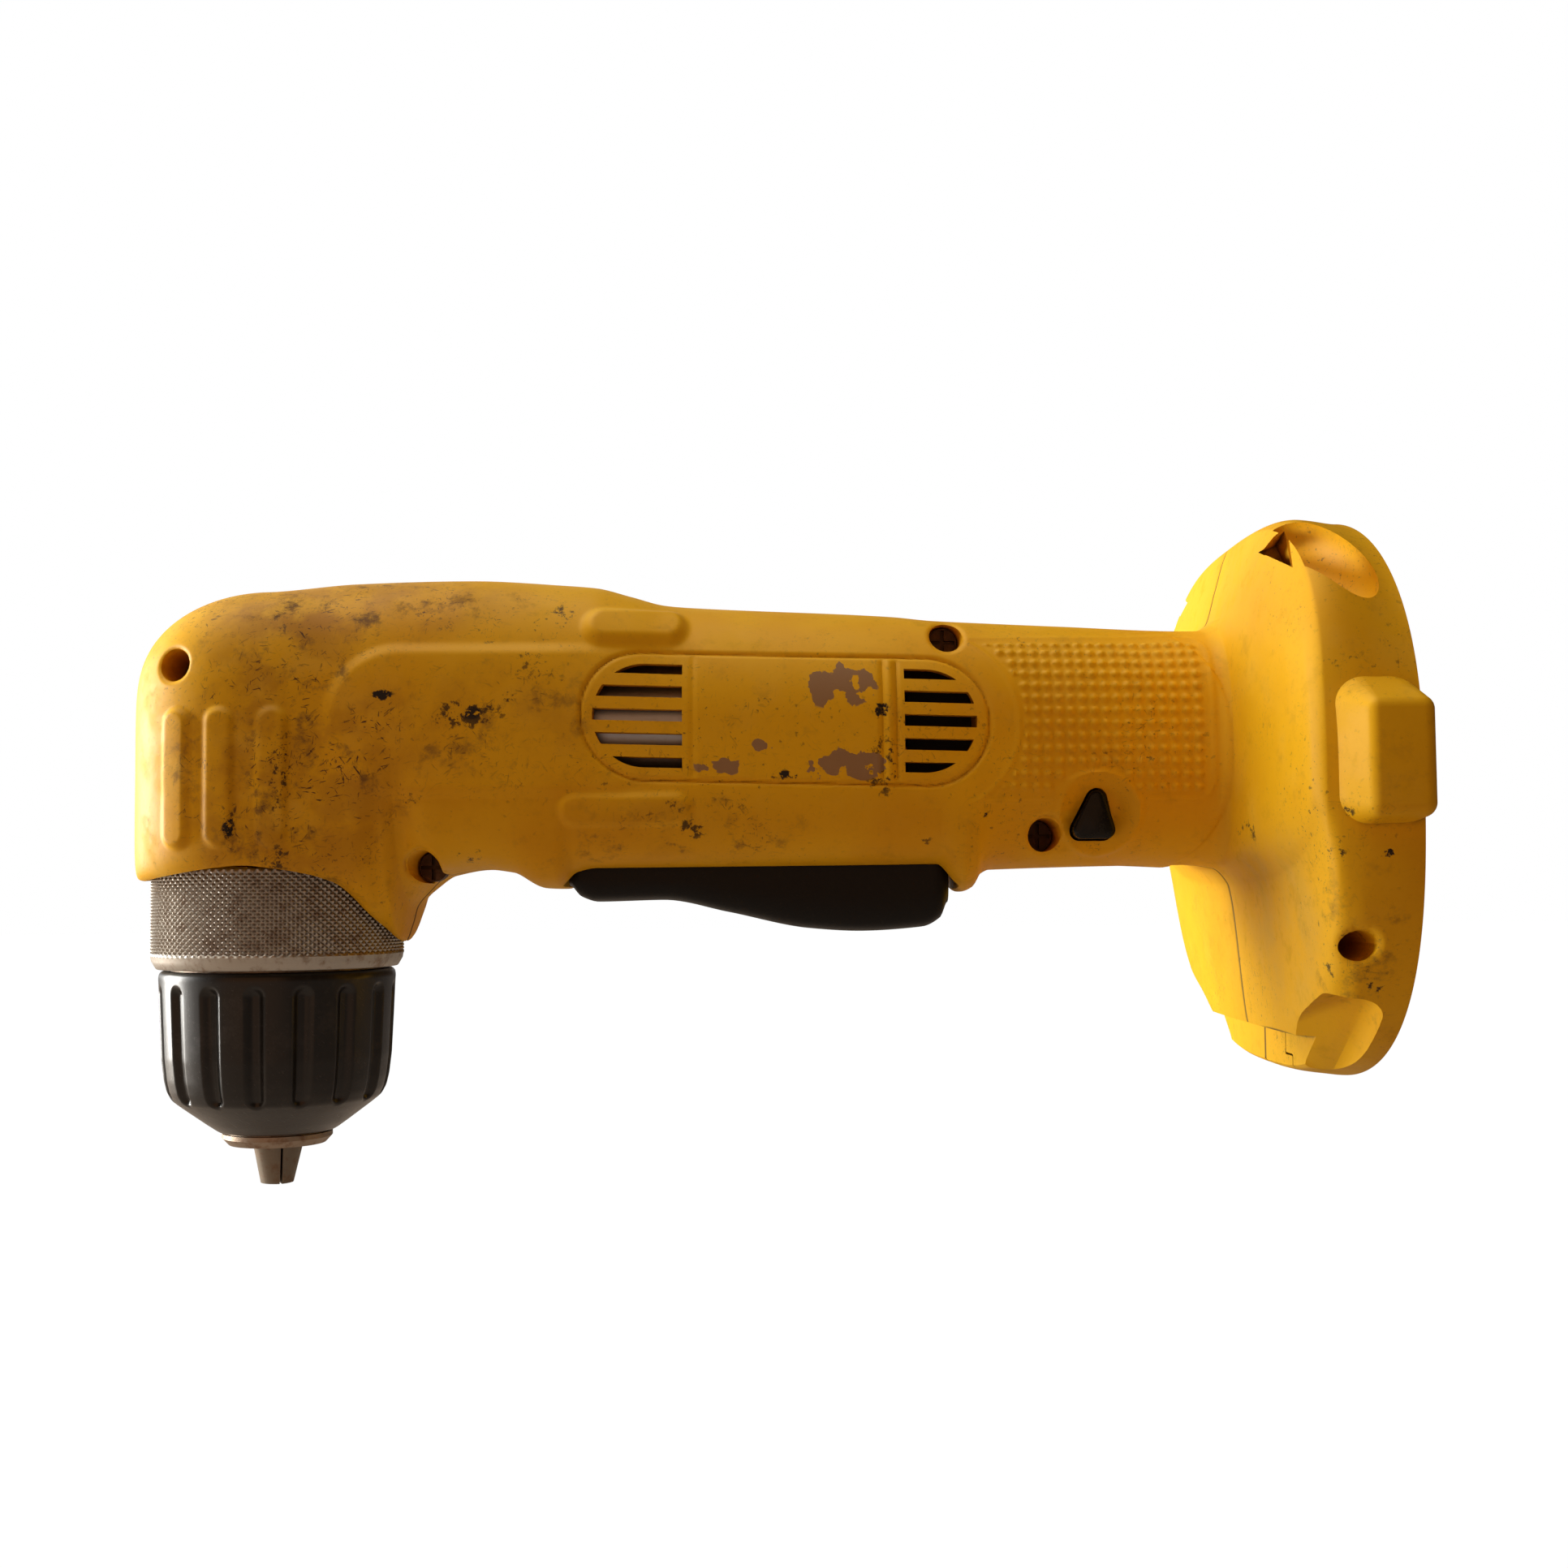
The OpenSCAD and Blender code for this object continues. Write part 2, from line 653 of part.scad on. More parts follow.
module gear_case() {
  color(zinc)
    difference() {
      union() {
        rod_z(case_z0, axis_z + 4, case_r);
        rod_z(axis_z, bush_z + bush_h + bush_wall, bush_r + bush_wall);
        rod_x(0, case_x1, arm_r);
      }
      rod_z(case_z0 - overcut, bearing_z + overcut, spindle_r + 1.5);
      rod_z(bearing_z, bearing_z + bearing_h + overcut, bearing_r);
      rod_z(bearing_z + bearing_h, axis_z + 2, cavity_r);
      rod_z(axis_z, bush_z + overcut, journal_r + 0.8);
      rod_z(bush_z, bush_z + bush_h, bush_r);
      rod_x(0, pinion_bearing_x + overcut, pinion_tip_r + 0.5);
      rod_x(pinion_bearing_x, pinion_bearing_x + bearing_h, pinion_bearing_r);
      rod_x(pinion_bearing_x, case_x1 + overcut, pinion_shaft_r + 1.5);
    }
}

module spindle_bearing() {
  color(steel)
    difference() {
      rod_z(bearing_z, bearing_z + bearing_h, bearing_r);
      rod_z(bearing_z - overcut, bearing_z + bearing_h + overcut, spindle_r + run_fit);
    }
}

module spindle_bush() {
  color(bronze)
    difference() {
      rod_z(bush_z, bush_z + bush_h, bush_r);
      rod_z(bush_z - overcut, bush_z + bush_h + overcut, journal_r + run_fit);
    }
}

module pinion_bearing() {
  color(steel)
    difference() {
      rod_x(pinion_bearing_x, pinion_bearing_x + bearing_h, pinion_bearing_r);
      rod_x(pinion_bearing_x - overcut, pinion_bearing_x + bearing_h + overcut, pinion_shaft_r + run_fit);
    }
}

function involute(a) = tan(a) * 180 / PI - a;

// Half angle of an involute tooth at radius r
function tooth_half(teeth, module_mm, r, fill) =
  let (base = module_mm * teeth / 2 * cos(pressure), a = r > base ? acos(base / r) : 0)
  90 * fill / teeth + involute(pressure) - involute(a);

function spur_points(teeth, module_mm, root, tip, fill, turn) = [
  for (k = [0:teeth - 1], q = [-3, -2, -1, 1, 2, 3])
    let (
      r = mix(tip, root, (abs(q) - 1) / 2),
      a = turn + 360 * k / teeth + sign(q) * tooth_half(teeth, module_mm, r, fill)
    )
      r * [cos(a), sin(a)]
];

module spur(teeth, root, tip, fill, turn, x, h) {
  translate([x, 0, axis_z])
    rotate([0, 90, 0])
      linear_extrude(height = h)
        polygon(spur_points(teeth, planet_module, root, tip, fill, turn));
}

module ring_gear() {
  color(steel)
    difference() {
      rod_x(ring_x, ring_x + ring_h, ring_r);
      spur(
        ring_teeth, ring_pitch_r - 0.85 * planet_module, ring_pitch_r + 1.25 * planet_module, 2 - tooth_fill,
        180 / ring_teeth, ring_x - overcut, ring_h + 2 * overcut
      );
    }
}

module sun_gear() {
  pitch_r = planet_module * sun_teeth / 2;
  color(steel)
    difference() {
      spur(
        sun_teeth, pitch_r - 1.2 * planet_module, pitch_r + 0.9 * planet_module, tooth_fill, 0,
        planet_x + 0.2, planet_h
      );
      rod_x(planet_x - overcut, planet_x + planet_h + overcut, shaft_r);
    }
}

module planet(k) {
  pitch_r = planet_module * planet_teeth / 2;
  turn = 120 * k;
  color(steel)
    translate([0, planet_centre_r * sin(turn), -planet_centre_r * cos(turn)])
      difference() {
        spur(
          planet_teeth, pitch_r - 1.2 * planet_module, pitch_r + 0.9 * planet_module, tooth_fill,
          turn + 180 + 180 / planet_teeth, planet_x, planet_h
        );
        rod_x(planet_x - overcut, planet_x + planet_h + overcut, pin_r + run_fit);
      }
}

module planet_1() {
  planet(0);
}

module planet_2() {
  planet(1);
}

module planet_3() {
  planet(2);
}

module planet_carrier() {
  color(steel) {
    difference() {
      rod_x(carrier_x, carrier_x + carrier_h, planet_centre_r + 3.4);
      rod_x(carrier_x - overcut, carrier_x + carrier_h + overcut, pinion_shaft_r);
    }
    for (k = thirds) {
      translate([0, planet_centre_r * sin(120 * k), -planet_centre_r * cos(120 * k)])
        rod_x(carrier_x + carrier_h, planet_x + planet_h + 0.8, pin_r);
    }
  }
}

// Bevel tooth outline at the outer end of the cone
function bevel_points(teeth, root, pitch_r, tip, turn) = [
  for (k = [0:teeth - 1], q = [-3, -2, -1, 1, 2, 3])
    let (
      r = abs(q) == 3 ? root : abs(q) == 2 ? pitch_r : tip,
      half = 90 / teeth * (bevel_fill + 0.42 * (abs(q) - 2)),
      a = turn + 360 * k / teeth + sign(q) * half
    )
      r * [cos(a), sin(a)]
];

module bevel_gear() {
  color(steel)
    difference() {
      union() {
        translate([0, 0, gear_z])
          linear_extrude(height = pinion_r * (1 - toe), scale = toe)
            polygon(bevel_points(
              bevel_teeth, pinion_r * tan(gear_angle - dedendum_angle), gear_r, gear_tip_r, 180 / bevel_teeth
            ));
        rod_z(bearing_z + bearing_h + 0.4, gear_z, gear_r - 1.6);
      }
      rod_z(bearing_z, axis_z, spindle_r);
    }
}

module bevel_pinion() {
  color(steel) {
    translate([gear_r, 0, axis_z])
      rotate([0, -90, 0])
        linear_extrude(height = gear_r * (1 - toe), scale = toe)
          polygon(bevel_points(
            pinion_teeth, gear_r * tan(pinion_angle - dedendum_angle), pinion_r, pinion_tip_r, 180
          ));
    rod_x(gear_r, pinion_bearing_x - 0.2, pinion_shaft_r + 1.5);
    rod_x(pinion_bearing_x - 0.2, carrier_x + carrier_h, pinion_shaft_r);
  }
}

module spindle() {
  color(steel)
    difference() {
      union() {
        rod_z(thread_z0, collar_z1, thread_r);
        rod_z(collar_z1, gear_z + 2, spindle_r);
        rod_z(gear_z + 2, bush_z + bush_h - 0.5, journal_r);
      }
      rod_z(thread_z0 - overcut, thread_z0 + 9, screw_shank_r);
    }
}

module chuck_screw() {
  color(steel)
    difference() {
      union() {
        rod_z(screw_z0, screw_z0 + screw_head_h, screw_head_r);
        rod_z(screw_z0 + screw_head_h, thread_z0 + 8, screw_shank_r);
      }
      rod_z(screw_z0 - overcut, screw_z0 + 1.4, 1.6, $fn = 6);
    }
}

module jaw_rod(r, from, to) {
  translate([-tip_inset, 0, 0])
    rotate([0, jaw_lean, 0])
      translate([0, 0, from])
        cylinder(r = r, h = to - from);
}

module chuck_body() {
  color(steel)
    difference() {
      union() {
        translate([0, 0, jaw_reach])
          cylinder(r1 = nose_r - 1, r2 = nose_r, h = nose_len * 0.6);
        rod_z(jaw_reach + nose_len * 0.6, jaw_reach + nose_len, nose_r);
        rod_z(jaw_reach + nose_len, nut_z0, core_r);
        rod_z(nut_z0, hub_z0, bit_room_r + 1.2);
        rod_z(hub_z0, collar_z1, hub_r);
      }
      rod_z(0, screw_z0 + screw_head_h, bit_room_r);
      rod_z(hub_z0, thread_z0 + overcut, screw_shank_r);
      rod_z(thread_z0, collar_z1 + overcut, thread_r);
      for (k = thirds) {
        rotate([0, 0, jaw_turn + 120 * k])
          jaw_rod(hole_r, -5, jaw_len + jaw_travel + 1, $fn = hole_sides);
      }
    }
}

module chuck_collar() {
  color(steel)
    difference() {
      union() {
        translate([0, 0, collar_z0])
          cylinder(r1 = collar_r - 1, r2 = collar_r, h = 1.2);
        rod_z(collar_z0 + 1.2, collar_z1, collar_r);
      }
      rod_z(collar_z0 - overcut, collar_z1 + overcut, hub_r);
    }
}

module chuck_sleeve() {
  color(black)
    difference() {
      rotate_extrude()
        polygon([
          [cup_r, sleeve_z0], [nose_r + 0.6, sleeve_z0], [sleeve_r - 2.2, sleeve_z0 + cone_len - 3],
          [sleeve_r - 1, sleeve_z0 + cone_len - 1], [sleeve_r - 0.5, sleeve_z0 + cone_len + 2],
          [sleeve_r, sleeve_z1 - 0.5], [sleeve_r - 0.5, sleeve_z1], [hub_r + free_gap, sleeve_z1],
          [hub_r + free_gap, hub_z0 - free_gap], [nut_r, hub_z0 - free_gap], [nut_r, nut_z0], [cup_r, nut_z0]
        ]);
      for (k = [0:flute_count - 1]) {
        rotate([0, 0, 360 * k / flute_count + 4])
          translate([sleeve_r + 0.5, 0, sleeve_z0 + 5])
            cylinder(r = 1.3, h = sleeve_len - 7.6, $fn = 16);
      }
    }
}

module jaw_nut() {
  clear_r = jaw_r / cos(jaw_lean) - tip_inset + free_gap;
  color(steel)
    difference() {
      rod_z(nut_z0, nut_z0 + nut_len, nut_r);
      translate([0, 0, nut_z0 - overcut])
        cylinder(
          r1 = clear_r + (nut_z0 - overcut) * tan(jaw_lean),
          r2 = clear_r + (nut_z0 + nut_len + overcut) * tan(jaw_lean),
          h = nut_len + 2 * overcut
        );
    }
}

module jaw(k) {
  reach = 2 * sleeve_r;
  color(steel)
    rotate([0, 0, jaw_turn + 120 * k])
      difference() {
        intersection() {
          jaw_rod(jaw_r, -5, jaw_len);
          linear_extrude(height = jaw_len)
            polygon([
              [jaw_gap, 0], [jaw_gap + reach / 2, reach * sin(60)], [jaw_gap + reach / 2, -reach * sin(60)]
            ]);
        }
        rod_z(-overcut, jaw_len, bit_r);
      }
}

module jaw_1() {
  jaw(0);
}

module jaw_2() {
  jaw(1);
}

module jaw_3() {
  jaw(2);
}

module motor_can() {
  color(zinc)
    difference() {
      rod_x(motor_x, motor_x1, motor_r);
      rod_x(motor_x + can_wall, motor_x1 + overcut, can_r);
      rod_x(motor_x - overcut, motor_x + 2 * can_wall, shaft_r + run_fit);
    }
}

module motor_magnets() {
  color(carbon)
    intersection() {
      difference() {
        rod_x(core_x, core_x + core_h, can_r);
        rod_x(core_x - overcut, core_x + core_h + overcut, rotor_r + 0.6);
      }
      for (side = [-1, 1]) {
        translate([core_x, side < 0 ? -motor_r : 3, axis_z - motor_r])
          cube([core_h, motor_r - 3, 2 * motor_r]);
      }
    }
}

module brush_boxes(grow, y0) {
  for (side = [-1, 1]) {
    translate([brush_x - grow, side < 0 ? -y0 - brush[1] : y0, axis_z - brush[2] / 2 - grow])
      cube([brush[0] + 2 * grow, brush[1], brush[2] + 2 * grow]);
  }
}

module motor_end_cap() {
  color(black) {
    difference() {
      rod_x(motor_x1, motor_x1 + cap_h, motor_r);
      rod_x(motor_x1 - overcut, motor_x1 + cap_h - 1.5, shaft_r + run_fit);
    }
    difference() {
      for (side = [-1, 1]) {
        translate([brush_x - 1, side * 10 - 3, axis_z - 4])
          cube([motor_x1 - brush_x + 1, 6, 8]);
      }
      brush_boxes(0, commutator_r + run_fit);
    }
  }
}

module carbon_brushes() {
  color(carbon)
    brush_boxes(0, commutator_r + run_fit);
}

module armature_shaft() {
  color(steel)
    rod_x(planet_x + 0.2, motor_x1 + cap_h - 2, shaft_r);
}

module armature_core() {
  color(copper)
    difference() {
      rod_x(core_x - 2, core_x + core_h + 2, rotor_r);
      rod_x(core_x - 3, core_x + core_h + 3, shaft_r);
      for (k = [0:4]) {
        translate([core_x - 3, 0, axis_z])
          rotate([72 * k, 0, 0])
            translate([0, -1.2, rotor_r - 4.5])
              cube([core_h + 6, 2.4, 6]);
      }
    }
}

module commutator() {
  color(copper)
    difference() {
      rod_x(commutator_x, commutator_x + commutator_h, commutator_r);
      rod_x(commutator_x - overcut, commutator_x + commutator_h + overcut, shaft_r);
    }
}

module cooling_fan() {
  blade_r = can_r - 1;
  color(black) {
    difference() {
      rod_x(fan_x, fan_x + 1.2, blade_r);
      rod_x(fan_x - overcut, fan_x + fan_h, shaft_r);
    }
    for (k = [0:7]) {
      translate([fan_x + 1.2, 0, axis_z])
        rotate([45 * k, 0, 0])
          translate([0, -0.6, 5])
            cube([fan_h - 1.2, 1.2, blade_r - 5.6]);
    }
  }
}

module switch_body() {
  color(black)
    difference() {
      switch_box(0);
      translate([plunger_x, 0, switch_z - overcut])
        cylinder(r = plunger_r + run_fit, h = overcut + 12);
    }
}

module switch_plunger() {
  color(steel)
    translate([plunger_x, 0, plunger_z])
      cylinder(r = plunger_r, h = plunger_len);
}

module terminal_block() {
  color(black)
    block_box(0);
}

module terminal_blades() {
  color(bronze)
    for (y = [-7, 0, 7]) {
      translate([block_x + block_size[0], y - 0.4, axis_z - 1])
        cube([8, 0.8, 6]);
    }
}

module motor_leads() {
  color(copper)
    for (side = [-1, 1]) {
      translate([0, side * 5, -4])
        rod_x(motor_x1 + cap_h, switch_x, lead_r);
      translate([0, side * 4, 0])
        rod_x(switch_x + switch_size[0], block_x, lead_r);
    }
}

module paddle_pin() {
  color(steel)
    rod_y(pivot_x, pivot_z, seat_fit - slot_half_w - pin_seat, slot_half_w + pin_seat - seat_fit, pivot_r);
}

module paddle_side(grow) {
  offset(delta = -grow)
    polygon(concat(
      [for (x = [paddle_x0:1.3:paddle_x1]) [x, curve(paddle_line, x)]],
      [[paddle_x1, belly_z - paddle_drop + 4.4], [paddle_x1, belly_z + 0.3], [pivot_x + 2.5, belly_z + 1.6],
       [paddle_x0 + 0.6, belly_z]]
    ));
}

module paddle_plate(half_w, grow) {
  translate([0, half_w, 0])
    rotate([90, 0, 0])
      linear_extrude(height = 2 * half_w)
        paddle_side(grow);
}

// Post inside the paddle that pushes the switch plunger
module push_post(z1) {
  translate([plunger_x, 0, belly_z - paddle_drop])
    cylinder(r = post_r, h = z1 - belly_z + paddle_drop);
}

module paddle() {
  color(black)
    difference() {
      union() {
        paddle_plate(paddle_half_w, 0);
        rod_y(pivot_x, pivot_z, -paddle_half_w, paddle_half_w, pivot_r + 1.3);
      }
      difference() {
        paddle_plate(paddle_half_w - paddle_wall, paddle_wall);
        push_post(belly_z);
      }
      difference() {
        translate([paddle_x0 + 4, paddle_wall - paddle_half_w, belly_z - 3])
          cube([paddle_x1 - paddle_wall - paddle_x0 - 4, 2 * (paddle_half_w - paddle_wall), 12]);
        push_post(plunger_z - free_gap);
      }
      rod_y(pivot_x, pivot_z, -foot_half_w, foot_half_w, pivot_r + run_fit);
    }
}

module direction_button() {
  color(black)
    button_bar(button_half_len, 0);
}

housing_left();
housing_right();
housing_screws();
gear_case();
spindle_bearing();
spindle_bush();
pinion_bearing();
ring_gear();
motor_can();
motor_magnets();
motor_end_cap();
carbon_brushes();
switch_body();
terminal_block();
terminal_blades();
motor_leads();
paddle_pin();
spindle();
bevel_gear();
chuck_body();
chuck_collar();
chuck_screw();
chuck_sleeve();
jaw_nut();
jaw_1();
jaw_2();
jaw_3();
bevel_pinion();
planet_carrier();
planet_1();
planet_2();
planet_3();
armature_shaft();
sun_gear();
armature_core();
commutator();
cooling_fan();
paddle();
switch_plunger();
direction_button();
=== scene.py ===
"""Looks of the right-angle drill: worn yellow shell, knurled and fluted chuck, black paddle, metal inside."""

import math

import bmesh
import bpy
import numpy as np
from mathutils import Matrix, Vector


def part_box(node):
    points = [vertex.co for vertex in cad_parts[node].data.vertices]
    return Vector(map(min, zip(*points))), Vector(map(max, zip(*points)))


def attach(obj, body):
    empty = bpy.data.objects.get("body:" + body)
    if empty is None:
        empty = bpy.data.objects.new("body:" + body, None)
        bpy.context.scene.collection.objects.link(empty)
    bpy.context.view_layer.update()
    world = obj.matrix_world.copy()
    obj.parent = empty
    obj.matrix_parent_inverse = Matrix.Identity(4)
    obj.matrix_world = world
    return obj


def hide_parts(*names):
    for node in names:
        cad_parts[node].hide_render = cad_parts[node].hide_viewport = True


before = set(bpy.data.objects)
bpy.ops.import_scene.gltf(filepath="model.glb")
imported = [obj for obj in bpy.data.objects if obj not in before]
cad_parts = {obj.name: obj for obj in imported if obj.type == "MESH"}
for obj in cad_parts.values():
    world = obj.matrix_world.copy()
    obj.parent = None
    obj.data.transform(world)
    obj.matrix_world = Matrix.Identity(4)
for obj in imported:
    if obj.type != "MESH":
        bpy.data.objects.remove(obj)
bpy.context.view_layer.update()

# Sizes in millimetres: whole pieces are read from the frame, the rest are named here
MM = 0.001


def extent(node):
    low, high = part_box(node)
    return np.array(low) / MM, np.array(high) / MM


shell_low, shell_high = extent("housing_left")
sleeve_low, sleeve_high = extent("chuck_sleeve")
collar_low, collar_high = extent("chuck_collar")
motor_low, motor_high = extent("motor_can")
case_low, case_high = extent("gear_case")
ring_low, ring_high = extent("ring_gear")
switch_low, switch_high = extent("switch_body")
terminal_low, terminal_high = extent("terminal_block")
paddle_low, paddle_high = extent("paddle")
button_low, button_high = extent("direction_button")
pin_low, pin_high = extent("paddle_pin")

wall = 2.4
seat_fit = 0.1
overcut = 1.0
collar_r = collar_high[0]
sleeve_r = sleeve_high[0]
motor_r = motor_high[1]
axis_z = (motor_low[2] + motor_high[2]) / 2
head_reach = -shell_low[0]
head_floor_z = collar_high[2] - 2
case_floor_z = case_low[2]
crown_z = axis_z + 23.9
belly_z = axis_z - 22.7
guard_z = head_floor_z - 9.8
guard_x = collar_r + 0.7
head_half_w = collar_r + 2
barrel_r = motor_r + 0.4 + wall
barrel_top = axis_z + barrel_r
grip_half_w = 18.4
grip_top = belly_z + 39
grip_x = 104
foot_x = 167
foot_half_w = 53
foot_low, foot_top = shell_low[2], shell_high[2]
foot_mid_z = (foot_low + foot_top) / 2
flare_x = foot_x - 19
crease_x = foot_x - 12.2
floor_x = foot_x - 5.5
floor_h = 2.5
nose_round = 2.2
button_x = (button_low[0] + button_high[0]) / 2
button_corner_r = 1.4
button_corners = [(2.7 * math.cos(math.radians(a)), 2.7 * math.sin(math.radians(a))) for a in (80, 228, 312)]
button_z = button_low[2] + button_corner_r - button_corners[1][1]

# Lines of the shell's form: (x, value) points
top_line = [
    (-head_reach, crown_z - 1.8), (0, crown_z - 1.6), (14, crown_z - 0.4), (33, crown_z), (47, crown_z - 0.7),
    (52, crown_z - 1.1), (57.5, crown_z - 2.5), (63, barrel_top + 0.4), (68, barrel_top),
    (99, barrel_top - 1.7), (grip_x + 2, grip_top + 0.8), (126, grip_top - 0.4), (flare_x, grip_top - 1.4),
    (flare_x + 2.6, grip_top - 0.2), (crease_x - 2.4, foot_top - 10.5), (crease_x - 1, foot_top - 5.7),
    (crease_x, foot_top - 3.6), (crease_x + 4.6, foot_top - 1.8), (foot_x - 2, foot_top - 1.5),
    (foot_x, foot_top - 1.5),
]
bottom_line = [
    (-head_reach, head_floor_z), (9, head_floor_z), (12.4, head_floor_z - 0.9),
    (guard_x - 1.6, guard_z + 1.4), (guard_x, guard_z), (guard_x + 1.2, guard_z + 2.8),
    (guard_x + 2, guard_z + 5.6), (guard_x + 3.8, belly_z - 3.4), (guard_x + 6.8, belly_z - 0.8),
    (33.6, belly_z + 0.2), (39, belly_z - 0.4), (44.2, belly_z - 2.9), (46.4, belly_z - 3),
    (49.4, belly_z - 0.6), (52.5, belly_z), (105.5, belly_z), (108.4, belly_z - 2.9), (109.8, belly_z - 4),
    (111.4, belly_z - 3.4), (112.8, belly_z - 1.3), (114.8, belly_z - 0.5), (flare_x - 2, belly_z),
    (flare_x + 3, belly_z - 0.6), (crease_x - 1.4, belly_z - 3), (crease_x - 0.8, belly_z - 5.5),
    (crease_x + 1.4, foot_low + 8), (crease_x + 2.6, foot_low + 4.5), (crease_x + 5, foot_low + 1.6),
    (foot_x - 2, foot_low + 0.7), (foot_x, foot_low + 0.5),
]
side_line = [
    (-head_reach, head_half_w), (2, head_half_w), (12, head_half_w - 1), (20, head_half_w - 0.6),
    (46, barrel_r + 0.9), (68, barrel_r + 0.4), (98, barrel_r), (116, grip_half_w),
    (flare_x - 5, grip_half_w), (flare_x, grip_half_w + 0.4), (flare_x + 2, grip_half_w + 2),
    (crease_x - 4.2, foot_half_w - 20), (crease_x - 2.9, foot_half_w - 6),
    (crease_x - 1.8, foot_half_w - 1.5), (crease_x - 0.2, foot_half_w), (foot_x, foot_half_w + 1.5),
]
mid_line = [
    (-head_reach, axis_z), (98, axis_z), (116, axis_z - 3), (flare_x, axis_z - 3.4), (crease_x, foot_mid_z),
    (foot_x, foot_mid_z + 2),
]

# How square the form is above and below its middle: (x, power) points
upper_round = [
    (-head_reach, 2.8), (20, 2.8), (56, 2.3), (68, 2), (98, 2.05), (116, 2.5), (flare_x, 2.6), (crease_x, 3),
    (foot_x, 2.25),
]
lower_round = [
    (-head_reach, 9), (9, 9), (guard_x - 5, 4.5), (guard_x, 2.3), (guard_x + 3, 2.4), (guard_x + 8, 4.4),
    (40, 4.5), (108, 4), (118, 2.8), (flare_x, 2.7), (crease_x, 2.9), (foot_x, 2.8),
]
nose_drop = 18.6
chin_rise = 2.5
least_half_w = 0.4
flare_ease = 8

# Closing screws: (x, z) of each, on the near side
foot_screw_z = foot_low + 21.8
screw_at = [
    (-11.4, crown_z - 14.8), (26, belly_z + 0.6), (107.3, grip_top - 3.2), (122, belly_z + 4.7),
    (foot_x - 9.2, foot_screw_z),
]
foot_mouth = (foot_x - 7.9, foot_screw_z)
mouth_r = 2.1
mouth_stretch = 1.18
mouth_y = 29
screw_head_y = 3
screw_len = 14
screw_hole_r = 1.45
tunnel_r = 2.6
tunnel_lip_r = 0.7
mouth_lip_r = 0.8
boss_r = 3.4

# Moulded details on the side walls: boxes are (x0, x1, z0, z1, corner radius)
panel = (51, 113.4, axis_z - 9.9, axis_z + 9.9, 9.8)
panel_slope = -0.026
panel_pivot_x = 82.6
vent_step = 3.65
vent_h = 1.8
vent_front = (52.8, 66.4)
vent_rear = (100.3, 111.4)
vent_end_r = 8
vent_out = 4
vent_depth = 9
divider_x = 98
grip_patch = (106, 147.6, 59.3, 85, 3)
dot_pitch = (1.76, 1.95)
dot_r = 0.62
dot_h = 0.42
screw_hollow = (120.6, 126.4, 52.6, 56.6, 2)
step_mid_z = 67
step_half_h = 17
seam_depth = 0.22
seam_half_w = 0.2

# Raised forms on the side walls: box, height and width of the eased edge of each
rib_half_w = 2.1
rib_z = (53.3, 74.2)
head_ribs = [((x - rib_half_w, x + rib_half_w, *rib_z, rib_half_w), 0.75, 1.3) for x in (-10.5, -3.5, 4.5)]
lower_bar = ((47.8, 67.5, 56.2, 60.7, 2.2), 0.75, 1.4)
upper_bar = ((51.5, 66.5, 84.2, 89.4, 2.6), 1.3, 2.2)
shoulder_pad = ((12.5, 64, 61, 83.2, 11), 0.7, 2.4)
shoulder_fade = 18

# Paddle's pivot and the battery socket's opening
pin_x, pin_z = 54, (pin_low[2] + pin_high[2]) / 2
pin_hole_r = 1.15
socket_half_w = 14
socket_z = (axis_z - 17, axis_z + 11)
socket_wall = 2

# Lip under the foot's front lobe, with its slits as (y0, z0, y1, z1)
lip_x, lip_top = crease_x - 6, foot_low + 8
ledge_half_w = 44
lip_slits = [
    (-12.3, lip_top - 3.8, -12, lip_top), (-16, lip_top - 4, -12, lip_top - 3.7),
    (-16.2, foot_low - 1, -15.9, lip_top - 3.8),
]

# Scoops and notches on the far side of the foot, which the near side mirrors
high_scoop_at = (crease_x + 3.2, foot_half_w - 14.6, foot_top - 12.4)
high_scoop_radii = (5.7, 12.8, 6.5)
high_scoop_tilt, high_scoop_slant = -36, -18
low_scoop_balls = [(157, 42.5, 27.2, 4), (160, 43.3, 27.7, 4), (160, 26, 15.8, 4), (152, 25, 20.8, 4)]

# Outlines of a notch, as (x, z) points at each distance from the middle plane
notch_outlines = {
    46: [(147.5, 92.4), (151.8, 95.8), (152.5, 90)],
    30: [(151.6, 95.3), (156.2, 98.9), (156.9, 92.8)],
    23: [(153.8, 96.2), (156.4, 97.3), (157.6, 94)],
}

